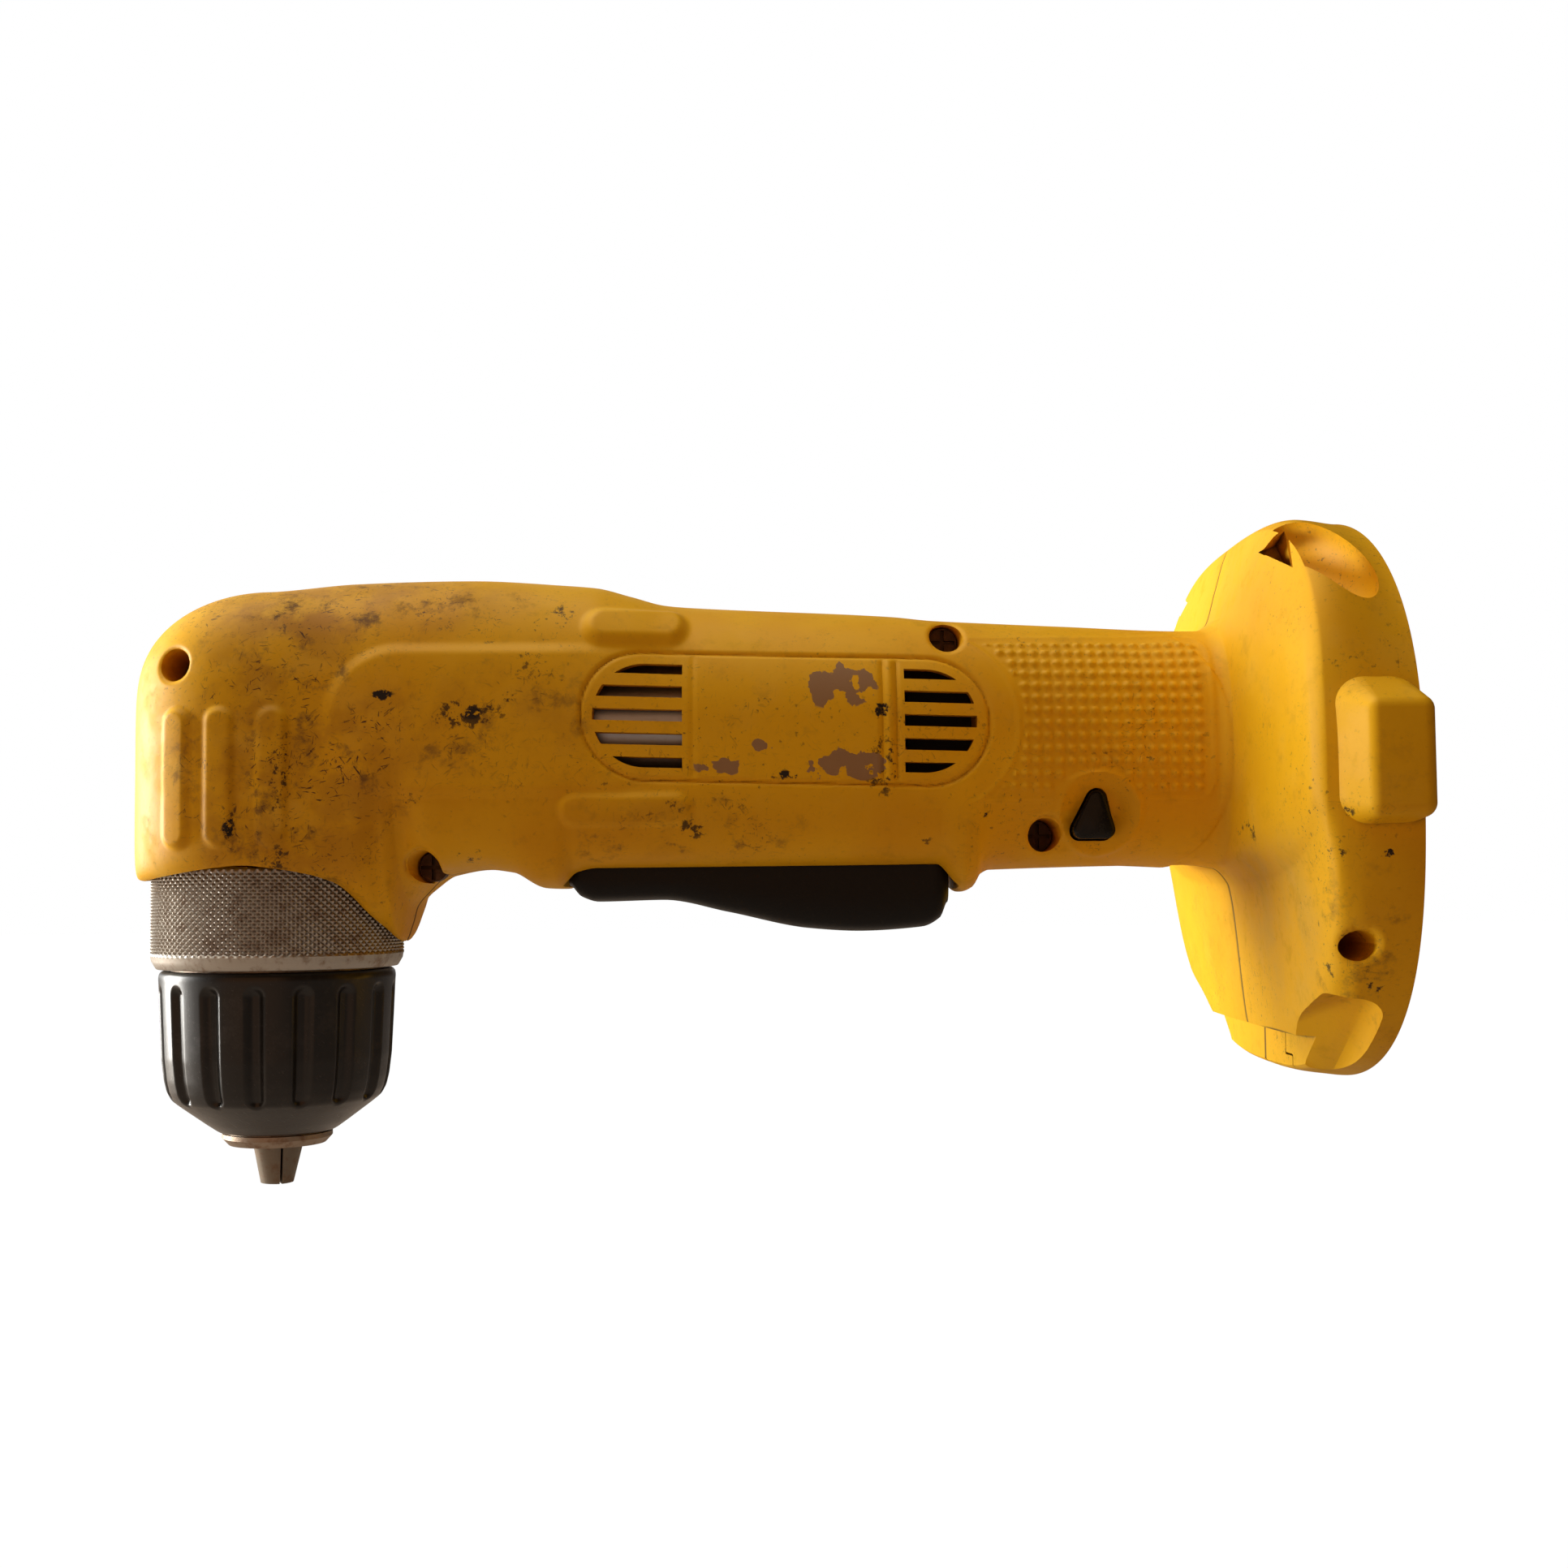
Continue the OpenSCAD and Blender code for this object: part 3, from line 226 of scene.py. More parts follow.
# Worn and sooty places: centre, radii and strength of each
worn = [
    ((5, -17, 87.5), (6.5, 6, 3), 0.5), ((31, -16, 87), (4, 6, 3), 0.35),
    ((48, -14, 89), (3, 6, 2.2), 0.7), ((21.2, -21, 76), (2.2, 6, 1.2), 1.3),
    ((34, -21, 73), (8, 6, 3.4), 0.75), ((34.6, -21, 73.2), (2, 6, 1.3), 0.2),
    ((40.7, -21, 75.7), (2.4, 6, 1.4), 0.8), ((43.5, -20, 80.5), (3.4, 6, 4.4), 0.55),
    ((25.5, -20, 60.4), (3, 6, 1.6), 0.5), ((5.8, -21, 64), (2.2, 6, 12), 0.75),
    ((-1.8, -21, 56.3), (1.4, 6, 3), 0.9), ((5, -21, 51.5), (5, 6, 2.6), 0.7),
    ((-16, -12, 76.2), (2, 5, 2.2), 0.6), ((33.8, -14, 51.9), (3.6, 6, 1.6), 0.7),
    ((97, -20, 64.5), (4.4, 6, 6.5), 0.75), ((96.7, -20, 73.3), (1.6, 6, 1.9), 1.2),
    ((82, -20, 63.4), (3.2, 6, 1.1), 1.0), ((67.8, -18, 55.8), (3.4, 6, 2.8), 0.75),
    ((64.6, -19, 58.8), (3, 6, 2.2), 0.6), ((102.6, -16, 53.3), (2.2, 6, 2.2), 0.6),
    ((112, -17, 57.4), (1.5, 6, 1), 0.9), ((151, -25, 53.8), (2.5, 7, 2.6), 0.7),
    ((157, -53, 55.9), (1.4, 3, 1.2), 0.8), ((155.7, -52, 50.3), (1.6, 3, 1.4), 0.8),
    ((162.2, -53, 50.3), (1.2, 3, 0.9), 1.4), ((156.6, -46, 34.5), (1.8, 4, 1.6), 0.7),
    ((161.8, -46.5, 32.2), (2.2, 4, 1.8), 0.8), ((156.5, -50, 75.4), (4, 6, 2.4), 0.4),
]


def smooth_line(points):
    """A curve through (x, value) points that never swings past them."""
    xs, values = np.array(points, float).T
    rates = np.diff(values) / np.diff(xs)
    before, after = np.append(0, rates), np.append(rates, 0)
    rising = before * after > 0
    slopes = np.where(rising, 2 * before * after / np.where(rising, before + after, 1), 0)

    def value(x):
        i = np.clip(np.searchsorted(xs, x) - 1, 0, len(xs) - 2)
        width = xs[i + 1] - xs[i]
        t = np.clip((x - xs[i]) / width, 0, 1)
        eased = values[i] + (values[i + 1] - values[i]) * t * t * (3 - 2 * t)
        return eased + width * t * (1 - t) * ((1 - t) * slopes[i] - t * slopes[i + 1])

    return value


top_at, bottom_at, side_at = smooth_line(top_line), smooth_line(bottom_line), smooth_line(side_line)
mid_at, upper_at, lower_at = smooth_line(mid_line), smooth_line(upper_round), smooth_line(lower_round)


def nose(x, power):
    """How far the rounded front of the head has opened at x, from 0 to 1."""
    reach = np.clip(-x / head_reach, 0, 1)
    return (1 - reach**power) ** (1 / power)


def even(points, count):
    """Points spaced evenly along a line through the given ones."""
    along = np.append(0, np.cumsum(np.linalg.norm(np.diff(points, axis=0), axis=1)))
    at = np.linspace(0, along[-1], count)
    return np.stack([np.interp(at, along, column) for column in points.T], axis=1)


def section(x, inset, upper_count, lower_count):
    """Ring of (y, z) points round the shell at x, from the top down the near side and up the far side."""
    q = x
    if inset and x < 0:
        q = x * head_reach / (head_reach - inset)
    elif inset:
        q = x - inset * np.clip((x - flare_x + flare_ease) / flare_ease, 0, 1)
    top = crown_z - nose_drop + (top_at(q) - crown_z + nose_drop) * nose(q, 2) - inset
    bottom = bottom_at(q) + chin_rise * (1 - nose(min(q, 0), 8)) + inset
    half = max(least_half_w, nose(q, nose_round) * side_at(q) - inset)
    mid = mid_at(q)
    t = np.linspace(0, 1, 240) ** 3
    turn = np.pi / 2 * t / (t + t[::-1])
    quarters = []
    for edge, power, count in ((top, upper_at(q), upper_count), (bottom, lower_at(q), lower_count)):
        y = -half * np.abs(np.cos(turn)) ** (2 / power)
        z = mid + (edge - mid) * np.sin(turn) ** (2 / power)
        y[-1] = 0
        quarters.append(even(np.stack([y, z], axis=1), count))
    near = np.concatenate([quarters[0][::-1], quarters[1][1:]])
    far = near[-2:0:-1] * (-1, 1)
    return np.concatenate([near, far])


def stations(x0, x1, step):
    """Places along X for the rings, closer together where the form turns quickly."""
    x = np.concatenate([x0 * np.cos(np.linspace(0.03, np.pi / 2, 400)), np.linspace(0.01, x1, 6000)])
    opened = nose(x, nose_round)
    lines = np.stack([x, opened * side_at(x), 0.7 * top_at(x), 0.7 * bottom_at(x)], axis=1)
    along = np.append(0, np.cumsum(np.linalg.norm(np.diff(lines, axis=0), axis=1)))
    return np.interp(np.linspace(0, along[-1], int(along[-1] / step)), along, x)


def shell_rings(inset, x1, step, upper_count, lower_count):
    """Rings of the shell's plain form, drawn in by the inset, from the head's front to x1."""
    xs = stations(inset - head_reach, x1, step)
    rings = [section(x, inset, upper_count, lower_count) for x in xs]
    return np.stack([np.column_stack([np.full(len(r), x), r]) for x, r in zip(xs, rings)])


def rounded_box(x, z, x0, x1, z0, z1, r):
    """Distance from a rectangle with rounded corners, negative inside it."""
    dx = np.abs(x - (x0 + x1) / 2) - (x1 - x0) / 2 + r
    dz = np.abs(z - (z0 + z1) / 2) - (z1 - z0) / 2 + r
    return np.hypot(np.maximum(dx, 0), np.maximum(dz, 0)) + np.minimum(np.maximum(dx, dz), 0) - r


def raised(distance, width):
    """1 inside an outline and 0 outside it, with an eased edge of that width."""
    t = np.clip(0.5 - distance / width, 0, 1)
    return t * t * (3 - 2 * t)


def line(distance, half_width):
    """1 on a line, falling to 0 a few half widths from it."""
    return np.exp(-((distance / half_width) ** 2))


def lip(distance, r):
    """Depth of the rounded edge of a hole, at that distance outside its outline."""
    t = np.clip(1 - distance / r, 0, 1)
    return r * (1 - np.sqrt(1 - t * t))


def panel_rise(x):
    """Height of the vent panel's middle over the axis, as the panel falls a little towards the foot."""
    return panel_slope * (x - panel_pivot_x)


def panel_edge(x, z):
    """Distance from the vent panel, negative inside it."""
    return rounded_box(x, z - panel_rise(x), *panel)


def dot_patch(x, z):
    """Distance from the grip's dotted patch, negative inside it."""
    panel_clearance, button_clearance = 4.4, 6.6
    patch = rounded_box(x, z, *grip_patch)
    clear_of_panel = panel_clearance - panel_edge(x, z)
    clear_of_button = button_clearance - np.hypot(x - button_x, z - button_z)
    return np.maximum(np.maximum(patch, clear_of_panel), clear_of_button)


def grip_dots(x, girth):
    """Round dots in rows along the grip, 1 at the middle of each and 0 between them."""
    u, v = (np.mod(value / pitch, 1) - 0.5 for value, pitch in zip((x, girth), dot_pitch))
    return np.sqrt(np.clip(1 - (np.hypot(u * dot_pitch[0], v * dot_pitch[1]) / dot_r) ** 2, 0, 1))


def raised_form(x, z, form):
    """Height of one raised form at a point of a side wall."""
    box, height, edge = form
    return height * raised(rounded_box(x, z, *box), edge)


def panel_relief(x, z):
    """Height of the vent panel's outline groove, its divider and the line beside its front vents."""
    edge = panel_edge(x, z)
    from_divider = x - divider_x
    divider = 0.3 * line(from_divider, 0.5) - 0.35 * line(np.abs(from_divider) - 1.1, 0.3)
    front_line = 0.2 * line(x - vent_front[1] - 1.6, 0.3)
    outline_groove = 0.45 * line(edge, 0.28)
    return raised(edge + 0.6, 0.6) * (divider - front_line) - outline_groove


def side_relief(x, z, girth):
    """Height of the moulded details on a side wall over the plain form."""
    height = sum(raised_form(x, z, form) for form in head_ribs + [lower_bar, upper_bar])
    pad_x1 = shoulder_pad[0][1]
    height += raised_form(x, z, shoulder_pad) * np.clip((pad_x1 - x) / shoulder_fade, 0, 1)
    height += panel_relief(x, z)
    patch = dot_patch(x, z)
    height += dot_h * grip_dots(x, girth) * raised(patch + 1.2, 0.4)
    patch_rim = 0.16 * line(patch + 0.1, 0.35)
    return height + patch_rim


def dish_relief(x, z):
    """Fall of the hollows round the button and the screw beside it, for a point of a side wall."""
    dish_x, dish_z, dish_r, rim_r = button_x + 0.9, button_z + 0.6, 4.4, 6.2
    ring = np.hypot(x - dish_x, z - dish_z)
    dish = 1.5 * raised(ring - dish_r, 3.4)
    rim = 0.28 * line(ring - rim_r, 0.45)
    by_screw = 0.5 * raised(rounded_box(x, z, *screw_hollow) - 0.6, 1.6)
    return rim - dish - by_screw


def step_relief(x, z):
    """Height of the curved step where the grip runs into the foot."""
    step_h, step_edge, fade_len = 0.4, 0.5, 7
    start_x, bow, bow_power = flare_x + 1.8, 6, 3.2
    off_mid = np.abs(z - step_mid_z)
    past_step = x - (start_x - bow * (off_mid / step_half_h) ** bow_power)
    on_step = (off_mid < step_half_h + 2) & (np.abs(x - flare_x) < 12)
    fade = np.clip(1 + past_step / fade_len, 0, 1)
    return np.where(on_step, step_h * raised(past_step, step_edge) * fade, 0)


def surface_normals(rings):
    """Outward normals at the points of a stack of rings."""
    along = np.gradient(rings, axis=0)
    around = np.roll(rings, -1, axis=1) - np.roll(rings, 1, axis=1)
    normals = np.cross(along, around)
    normals /= np.linalg.norm(normals, axis=2, keepdims=True) + 1e-9
    centre = rings.mean(axis=1, keepdims=True)
    outward = np.sign(np.sum(normals * (rings - centre), axis=2).mean(axis=1))
    return normals * outward[:, None, None]


def detailed_rings(rings):
    """The shell's rings with the moulded details raised from them, and the seam and screw lips sunk in."""
    x, y, z = rings[..., 0], rings[..., 1], rings[..., 2]
    normals = surface_normals(rings)
    side = np.clip((np.abs(normals[..., 1]) - 0.12) / 0.25, 0, 1)
    steps = np.linalg.norm(np.diff(rings, axis=1, append=rings[:, :1]), axis=2)
    girth = np.cumsum(steps, axis=1)
    near_mid = rings.shape[1] // 4
    girth = np.where(y < 0, girth, 2 * girth[:, 2 * near_mid : 2 * near_mid + 1] - girth)
    on_body = x < flare_x + 1
    height = np.where(on_body, side * side_relief(x, z, girth - girth[:, near_mid : near_mid + 1]), 0)
    height += np.where(on_body, side * dish_relief(x, z), 0)
    for sx, sz in screw_at[:-1]:
        height -= np.where(y < 0, side * lip(np.hypot(x - sx, z - sz) - tunnel_r, tunnel_lip_r), 0)
    to_mouth = np.hypot((x - foot_mouth[0]) / mouth_stretch, z - foot_mouth[1]) - mouth_r
    height -= np.where((y < 0) & (x > crease_x), side * lip(to_mouth, mouth_lip_r), 0)
    height -= seam_depth * line(y, seam_half_w)
    height += step_relief(x, z)
    return rings + normals * height[..., None]


def placed(name, data):
    """New object in the scene, with a mesh, a lamp or a camera as its data."""
    made = bpy.data.objects.new(name, data)
    bpy.context.scene.collection.objects.link(made)
    return made


def solid(name, points, faces):
    """Piece with points in millimetres."""
    mesh = bpy.data.meshes.new(name)
    mesh.from_pydata((np.asarray(points, float) * MM).tolist(), [], faces)
    return placed(name, mesh)


def formed(name, bm):
    """Piece from a mesh in the making, which is used up."""
    mesh = bpy.data.meshes.new(name)
    bm.to_mesh(mesh)
    bm.free()
    return placed(name, mesh)


def loft(name, rings, capped=True):
    """Skin through rings of as many points each, facing outwards, with end caps or closed on itself."""
    count, around = rings.shape[:2]
    index = np.arange(count * around).reshape(count, around)
    a, b = index[:-1], index[1:]
    quads = np.stack([a, np.roll(a, -1, 1), np.roll(b, -1, 1), b], axis=-1).reshape(-1, 4)
    points = rings.reshape(-1, 3)
    corners = points[quads] - points.mean(axis=0)
    volume = np.sum(corners[:, 0] * np.cross(corners[:, 1], corners[:, 2]))
    volume += np.sum(corners[:, 0] * np.cross(corners[:, 2], corners[:, 3]))
    faces = quads.tolist()
    if capped:
        faces += [index[0][::-1].tolist(), index[-1].tolist()]
    else:
        last = np.stack([index[-1], np.roll(index[-1], -1), np.roll(index[0], -1), index[0]], axis=-1)
        faces += last.tolist()
    if volume < 0:
        faces = [face[::-1] for face in faces]
    return solid(name, points, faces)


def ring_at(outline, y):
    """Outline of (x, z) points as a ring at one Y."""
    return np.insert(np.asarray(outline, float), 1, y, axis=1)


def prism_y(name, outline, y0, y1):
    """Outline of (x, z) points drawn out along Y."""
    return loft(name, np.stack([ring_at(outline, y) for y in (y0, y1)]))


def circle(x, z, r, count=48):
    """Points round a circle, starting on its +x side."""
    turn = np.linspace(0, 2 * np.pi, count, endpoint=False)
    return np.column_stack([x + r * np.cos(turn), z + r * np.sin(turn)])


def rod(name, centre, axis, length, r, count=64):
    """Round rod from centre along an axis, 0 for X, 1 for Y and 2 for Z."""
    ring = np.insert(circle(0, 0, r, count), axis, 0, axis=1) + np.array(centre, float)
    step = np.eye(3)[axis] * length
    return loft(name, np.stack([ring, ring + step]))


def block(name, low, high):
    outline = [(low[0], low[2]), (high[0], low[2]), (high[0], high[2]), (low[0], high[2])]
    return prism_y(name, outline, low[1], high[1])


def ellipsoid(name, centre, radii, tilt, slant):
    """Ellipsoid turned about its own Z by slant degrees and then about X by tilt degrees."""
    bm = bmesh.new()
    turn = Matrix.Rotation(math.radians(tilt), 4, "X") @ Matrix.Rotation(math.radians(slant), 4, "Z")
    place = Matrix.Translation(Vector(centre) * MM) @ turn @ Matrix.Diagonal((*(Vector(radii) * MM), 1))
    bmesh.ops.create_uvsphere(bm, u_segments=96, v_segments=64, radius=1, matrix=place)
    return formed(name, bm)


def hull_of_balls(name, balls):
    """Convex skin round balls given as (x, y, z, r)."""
    bm = bmesh.new()
    rise = np.linspace(0.05, np.pi - 0.05, 28)[:, None]
    turn = np.linspace(0, 2 * np.pi, 44, endpoint=False)[None, :]
    level = np.cos(rise) + 0 * turn
    ways = np.stack([np.sin(rise) * np.cos(turn), np.sin(rise) * np.sin(turn), level], axis=-1)
    for *centre, r in balls:
        for point in (np.array(centre) + r * ways.reshape(-1, 3)) * MM:
            bm.verts.new(point)
    bmesh.ops.convex_hull(bm, input=bm.verts)
    bmesh.ops.delete(bm, geom=[v for v in bm.verts if not v.link_faces], context="VERTS")
    return formed(name, bm)


def combine(piece, other, how):
    """Joins, cuts or intersects a solid with another, which is used up."""
    change = piece.modifiers.new("combine", "BOOLEAN")
    change.operation = how
    change.solver = "MANIFOLD"
    change.object = other
    bpy.context.view_layer.update()
    made = bpy.data.meshes.new_from_object(piece.evaluated_get(bpy.context.evaluated_depsgraph_get()))
    piece.modifiers.clear()
    piece.data = made
    bpy.data.objects.remove(other)
    return piece


def smooth(piece, sharp_degrees):
    """Smooth shading, with edges sharper than the angle kept crisp."""
    piece.data.shade_smooth()
    piece.data.set_sharp_from_angle(angle=math.radians(sharp_degrees))
    return piece


# The shell

def vent_cutters():
    """Five slots at each end of the side panel, with ends that follow the panel's round ends."""
    end_x = (vent_front[0] + vent_end_r, vent_rear[1] - vent_end_r)
    ends = [(x, axis_z + panel_rise(x)) for x in end_x]
    cutters = []
    for side_y in (-barrel_r - vent_out, barrel_r + vent_out - vent_depth):
        slots = []
        for low_x, high_x in (vent_front, vent_rear):
            for k in range(-2, 3):
                z0, z1 = (axis_z + k * vent_step + panel_rise(x) for x in (low_x, high_x))
                h = vent_h / 2
                outline = [(low_x, z0 - h), (high_x, z1 - h), (high_x, z1 + h), (low_x, z0 + h)]
                slots.append(prism_y("slot", outline, side_y, side_y + vent_depth))
        for slot in slots[1:]:
            combine(slots[0], slot, "UNION")
        bound = np.concatenate([
            circle(*ends[0], vent_end_r, 96)[24:73],
            circle(*ends[1], vent_end_r, 96)[np.r_[72:96, 0:25]],
        ])
        bounds = prism_y("bound", bound, side_y - overcut, side_y + vent_depth + overcut)
        cutters.append(combine(slots[0], bounds, "INTERSECT"))
    return cutters


def slab(x0, x1):
    """Plate across the whole shell."""
    return block("slab", (x0, -foot_half_w, 0), (x1, foot_half_w, foot_top + 5))


def socket_tube():
    """Walls round the way to the battery's terminals."""
    x0, (z0, z1) = terminal_low[0], socket_z
    half_w = socket_half_w + socket_wall
    tube = block("tube", (x0, -half_w, z0 - socket_wall), (floor_x, half_w, z1 + socket_wall))
    bore = block("bore", (x0 - overcut, -socket_half_w, z0), (floor_x + overcut, socket_half_w, z1))
    return combine(tube, bore, "DIFFERENCE")


def hollow():
    """Room inside the shell, less the ribs, bosses and plates that stand in it."""
    room = loft("room", shell_rings(wall, foot_x + overcut, 1.6, 24, 26))
    back_x = floor_x + floor_h + 0.8
    back_h = 24
    standing = [
        block(
            "head_plate", (-head_reach, -head_half_w, head_floor_z),
            (ring_low[0] - 1, head_half_w, case_floor_z + 2),
        ),
        slab(ring_low[0] + 2.5, ring_low[0] + 5.5),
        slab(motor_low[0] + 6, motor_low[0] + 8),
        slab(motor_high[0] - 6, motor_high[0] - 4),
        slab(switch_low[0] + 10, switch_low[0] + 12),
        slab(terminal_low[0], terminal_high[0] - 0.5),
        slab(floor_x, floor_x + floor_h),
        block("low_back", (flare_x, -foot_half_w, foot_low), (back_x, foot_half_w, foot_low + back_h)),
        block("high_back", (flare_x, -foot_half_w, foot_top - back_h), (back_x, foot_half_w, foot_top)),
        socket_tube(),
        block("web", (switch_low[0] - 2.5, 0, switch_high[2] - 1), (switch_low[0] + 10, wall, foot_top)),
    ]
    standing += [rod("boss", (x, -foot_half_w, z), 1, 2 * foot_half_w, boss_r) for x, z in screw_at]
    for piece in standing:
        combine(room, piece, "DIFFERENCE")
    return room


def screw_cutters():
    """A tunnel and a hole for each closing screw, and the oval mouth of the tunnel in the foot."""
    outside_y = foot_half_w + 8
    mouth = circle(0, 0, mouth_r) * (mouth_stretch, 1) + foot_mouth
    cutters = [prism_y("mouth", mouth, -outside_y, -mouth_y)]
    for x, z in screw_at:
        start_y = mouth_y + overcut if x > crease_x else outside_y
        cutters.append(rod("tunnel", (x, -start_y, z), 1, start_y - screw_head_y, tunnel_r))
        cutters.append(rod("screw_hole", (x, -screw_head_y - overcut, z), 1, screw_len, screw_hole_r))
    return cutters


def seat_cutters():
    """Room for the pieces that the shell holds, with the socket, the paddle's slot and the button's hole."""
    fit = np.array([seat_fit] * 3)
    slot_half_w = paddle_high[1] + 0.5
    case_r, ring_r = case_high[1] + seat_fit, ring_high[1] + seat_fit
    case_h = axis_z - case_floor_z + overcut
    ring_len, motor_len = motor_low[0] - ring_low[0] + 1, motor_high[0] - motor_low[0] + 8
    return [
        rod("collar_room", (0, 0, 0), 2, case_floor_z - 0.2, collar_r + 0.8, 160),
        rod("case_room", (0, 0, case_floor_z - overcut), 2, case_h, case_r),
        rod("ring_room", (ring_low[0] - 2, 0, axis_z), 0, ring_len, ring_r),
        rod("motor_room", (motor_low[0] - 1, 0, axis_z), 0, motor_len, motor_r + seat_fit),
        block("switch_room", switch_low - fit, switch_high + fit),
        block("terminal_room", terminal_low - fit, terminal_high + fit),
        block(
            "socket", (floor_x - overcut, -socket_half_w, socket_z[0]),
            (floor_x + floor_h + overcut, socket_half_w, socket_z[1]),
        ),
        block(
            "paddle_slot", (paddle_low[0] - 0.7, -slot_half_w, guard_z - 4),
            (paddle_high[0] + 1.4, slot_half_w, belly_z + wall + 2.4),
        ),
        rod("pin_hole", (pin_x, pin_low[1] - 0.1, pin_z), 1, 2 * pin_high[1] + 0.2, pin_hole_r),
        prism_y("button_hole", button_outline(0.3), -grip_half_w - 4, grip_half_w + 4),
    ]


def foot_cutters():
    """Step and slits under the foot's front lobe, and the finger scoops and notches at its sides."""
    ledge_low, ledge_high = (lip_x, -ledge_half_w, foot_low - 5), (crease_x + 4.2, ledge_half_w, lip_top)
    cutters = [block("ledge", ledge_low, ledge_high)]
    for y0, z0, y1, z1 in lip_slits:
        cutters.append(block("slit", (lip_x, y0, z0), (crease_x + 6, y1, z1)))
    for side in (-1, 1):
        x, y, z = high_scoop_at
        tilt, slant = side * high_scoop_tilt, side * high_scoop_slant
        above = ellipsoid("scoop", (x, side * y, z), high_scoop_radii, tilt, slant)
        cutters.append(combine(above, slab(crease_x - 0.2, foot_x), "INTERSECT"))
        cutters.append(hull_of_balls("scoop", [(x, side * y, z, r) for x, y, z, r in low_scoop_balls]))
        rings = [ring_at(outline, side * y) for y, outline in notch_outlines.items()]
        cutters.append(loft("notch", np.stack(rings)))
    return cutters


def guide_block(side):
    """Raised block on a flank of the foot, drawn in towards its outer face."""
    root_y, root_r = foot_half_w - 3, 5
    face_y, face_r = foot_half_w + 3.4, 2
    balls = []
    for z in (foot_mid_z - 2, foot_mid_z + 9.8):
        balls += [(x, side * root_y, z, root_r) for x in (foot_x - 7.2, foot_x - 4.2)]
    for z in (foot_mid_z - 3.4, foot_mid_z + 8.9):
        balls += [(x, side * face_y, z, face_r) for x in (foot_x - 6.8, foot_x - 1.2)]
    return hull_of_balls("guide", balls)


def button_outline(grow):
    """Rounded triangle of the direction button, with its point up."""
    ways = circle(0, 0, 1, 96)
    corners = np.array(button_corners)
    nearest = corners[np.argmax(ways @ corners.T, axis=1)]
    return np.array([button_x, button_z]) + nearest + (button_corner_r + grow) * ways


def make_shell():
    """The two halves of the shell, cut from one detailed form."""
    step, upper_count, lower_count = ((0.36, 112, 118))
    form = loft("shell", detailed_rings(shell_rings(0, foot_x, step, upper_count, lower_count)))
    for side in (-1, 1):
        combine(form, guide_block(side), "UNION")
    room = hollow()
    for cutter in seat_cutters() + screw_cutters() + vent_cutters() + foot_cutters():
        combine(room, cutter, "UNION")
    combine(form, room, "DIFFERENCE")
    low_x, high_x, low_z, high_z, reach = -60, 220, -40, 140, 80
    sides = (("shell_near", "housing_left", -reach, 0), ("shell_far", "housing_right", 0, reach))
    halves = []
    for name, node, y0, y1 in sides:
        half = placed(name, form.data.copy())
        combine(half, block("half", (low_x, y0, low_z), (high_x, y1, high_z)), "INTERSECT")
        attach(half, "housing")
        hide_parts(node)
        halves.append(smooth(half, 38))
    bpy.data.objects.remove(form)
    return halves


# The chuck

def lathe_rings(profile, around):
    """Rings round the chuck axis for (r, z) points, each ring the same height all round."""
    turn = np.linspace(0, 2 * np.pi, around, endpoint=False)
    profile = np.asarray(profile, float)
    r, z = profile[:, 0:1], profile[:, 1:2]
    return np.stack([r * np.cos(turn), r * np.sin(turn), z + 0 * turn], axis=-1)


def make_collar():
    """Steel collar with a diamond knurl above a plain chamfered band."""
    cells, rows_per_cell = 96, 8
    cell_h, knurl_depth, fade_h = 1.02, 0.42, 0.5
    z0, z1 = collar_low[2], collar_high[2]
    knurl_z0 = z0 + 2.1
    heights = np.arange(knurl_z0, z1 - 0.5, cell_h / rows_per_cell)
    inner_r = collar_r - 3.2
    band = [
        (inner_r, z0), (collar_r - 1.0, z0), (collar_r - 0.85, z0 + 0.15), (collar_r - 0.2, z0 + 1.3),
        (collar_r - 0.12, z0 + 1.9),
    ]
    knurled = [(collar_r, z) for z in heights]
    rim = [(collar_r - 0.3, z1 - 0.2), (collar_r - 0.6, z1), (inner_r, z1)]
    around = cells * rows_per_cell
    rings = lathe_rings(band + knurled + rim, around)
    turn = np.arange(around) / around * cells
    climb = (heights / cell_h)[:, None]
    to_line = [np.abs(np.mod(turn[None, :] + way * climb, 1) - 0.5) * 2 for way in (1, -1)]
    peak = 1 - np.maximum(*to_line)
    fade = np.clip((heights - knurl_z0) / fade_h, 0, 1)[:, None]
    depth = knurl_depth * (1 - np.clip(peak * 1.25, 0, 1)) * fade
    first, last = len(band), len(band) + len(heights)
    rings[first:last, :, :2] *= (1 - depth / collar_r)[..., None]
    collar = loft("collar_knurled", rings, capped=False)
    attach(collar, "chuck")
    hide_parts("chuck_collar")
    return smooth(collar, 50)


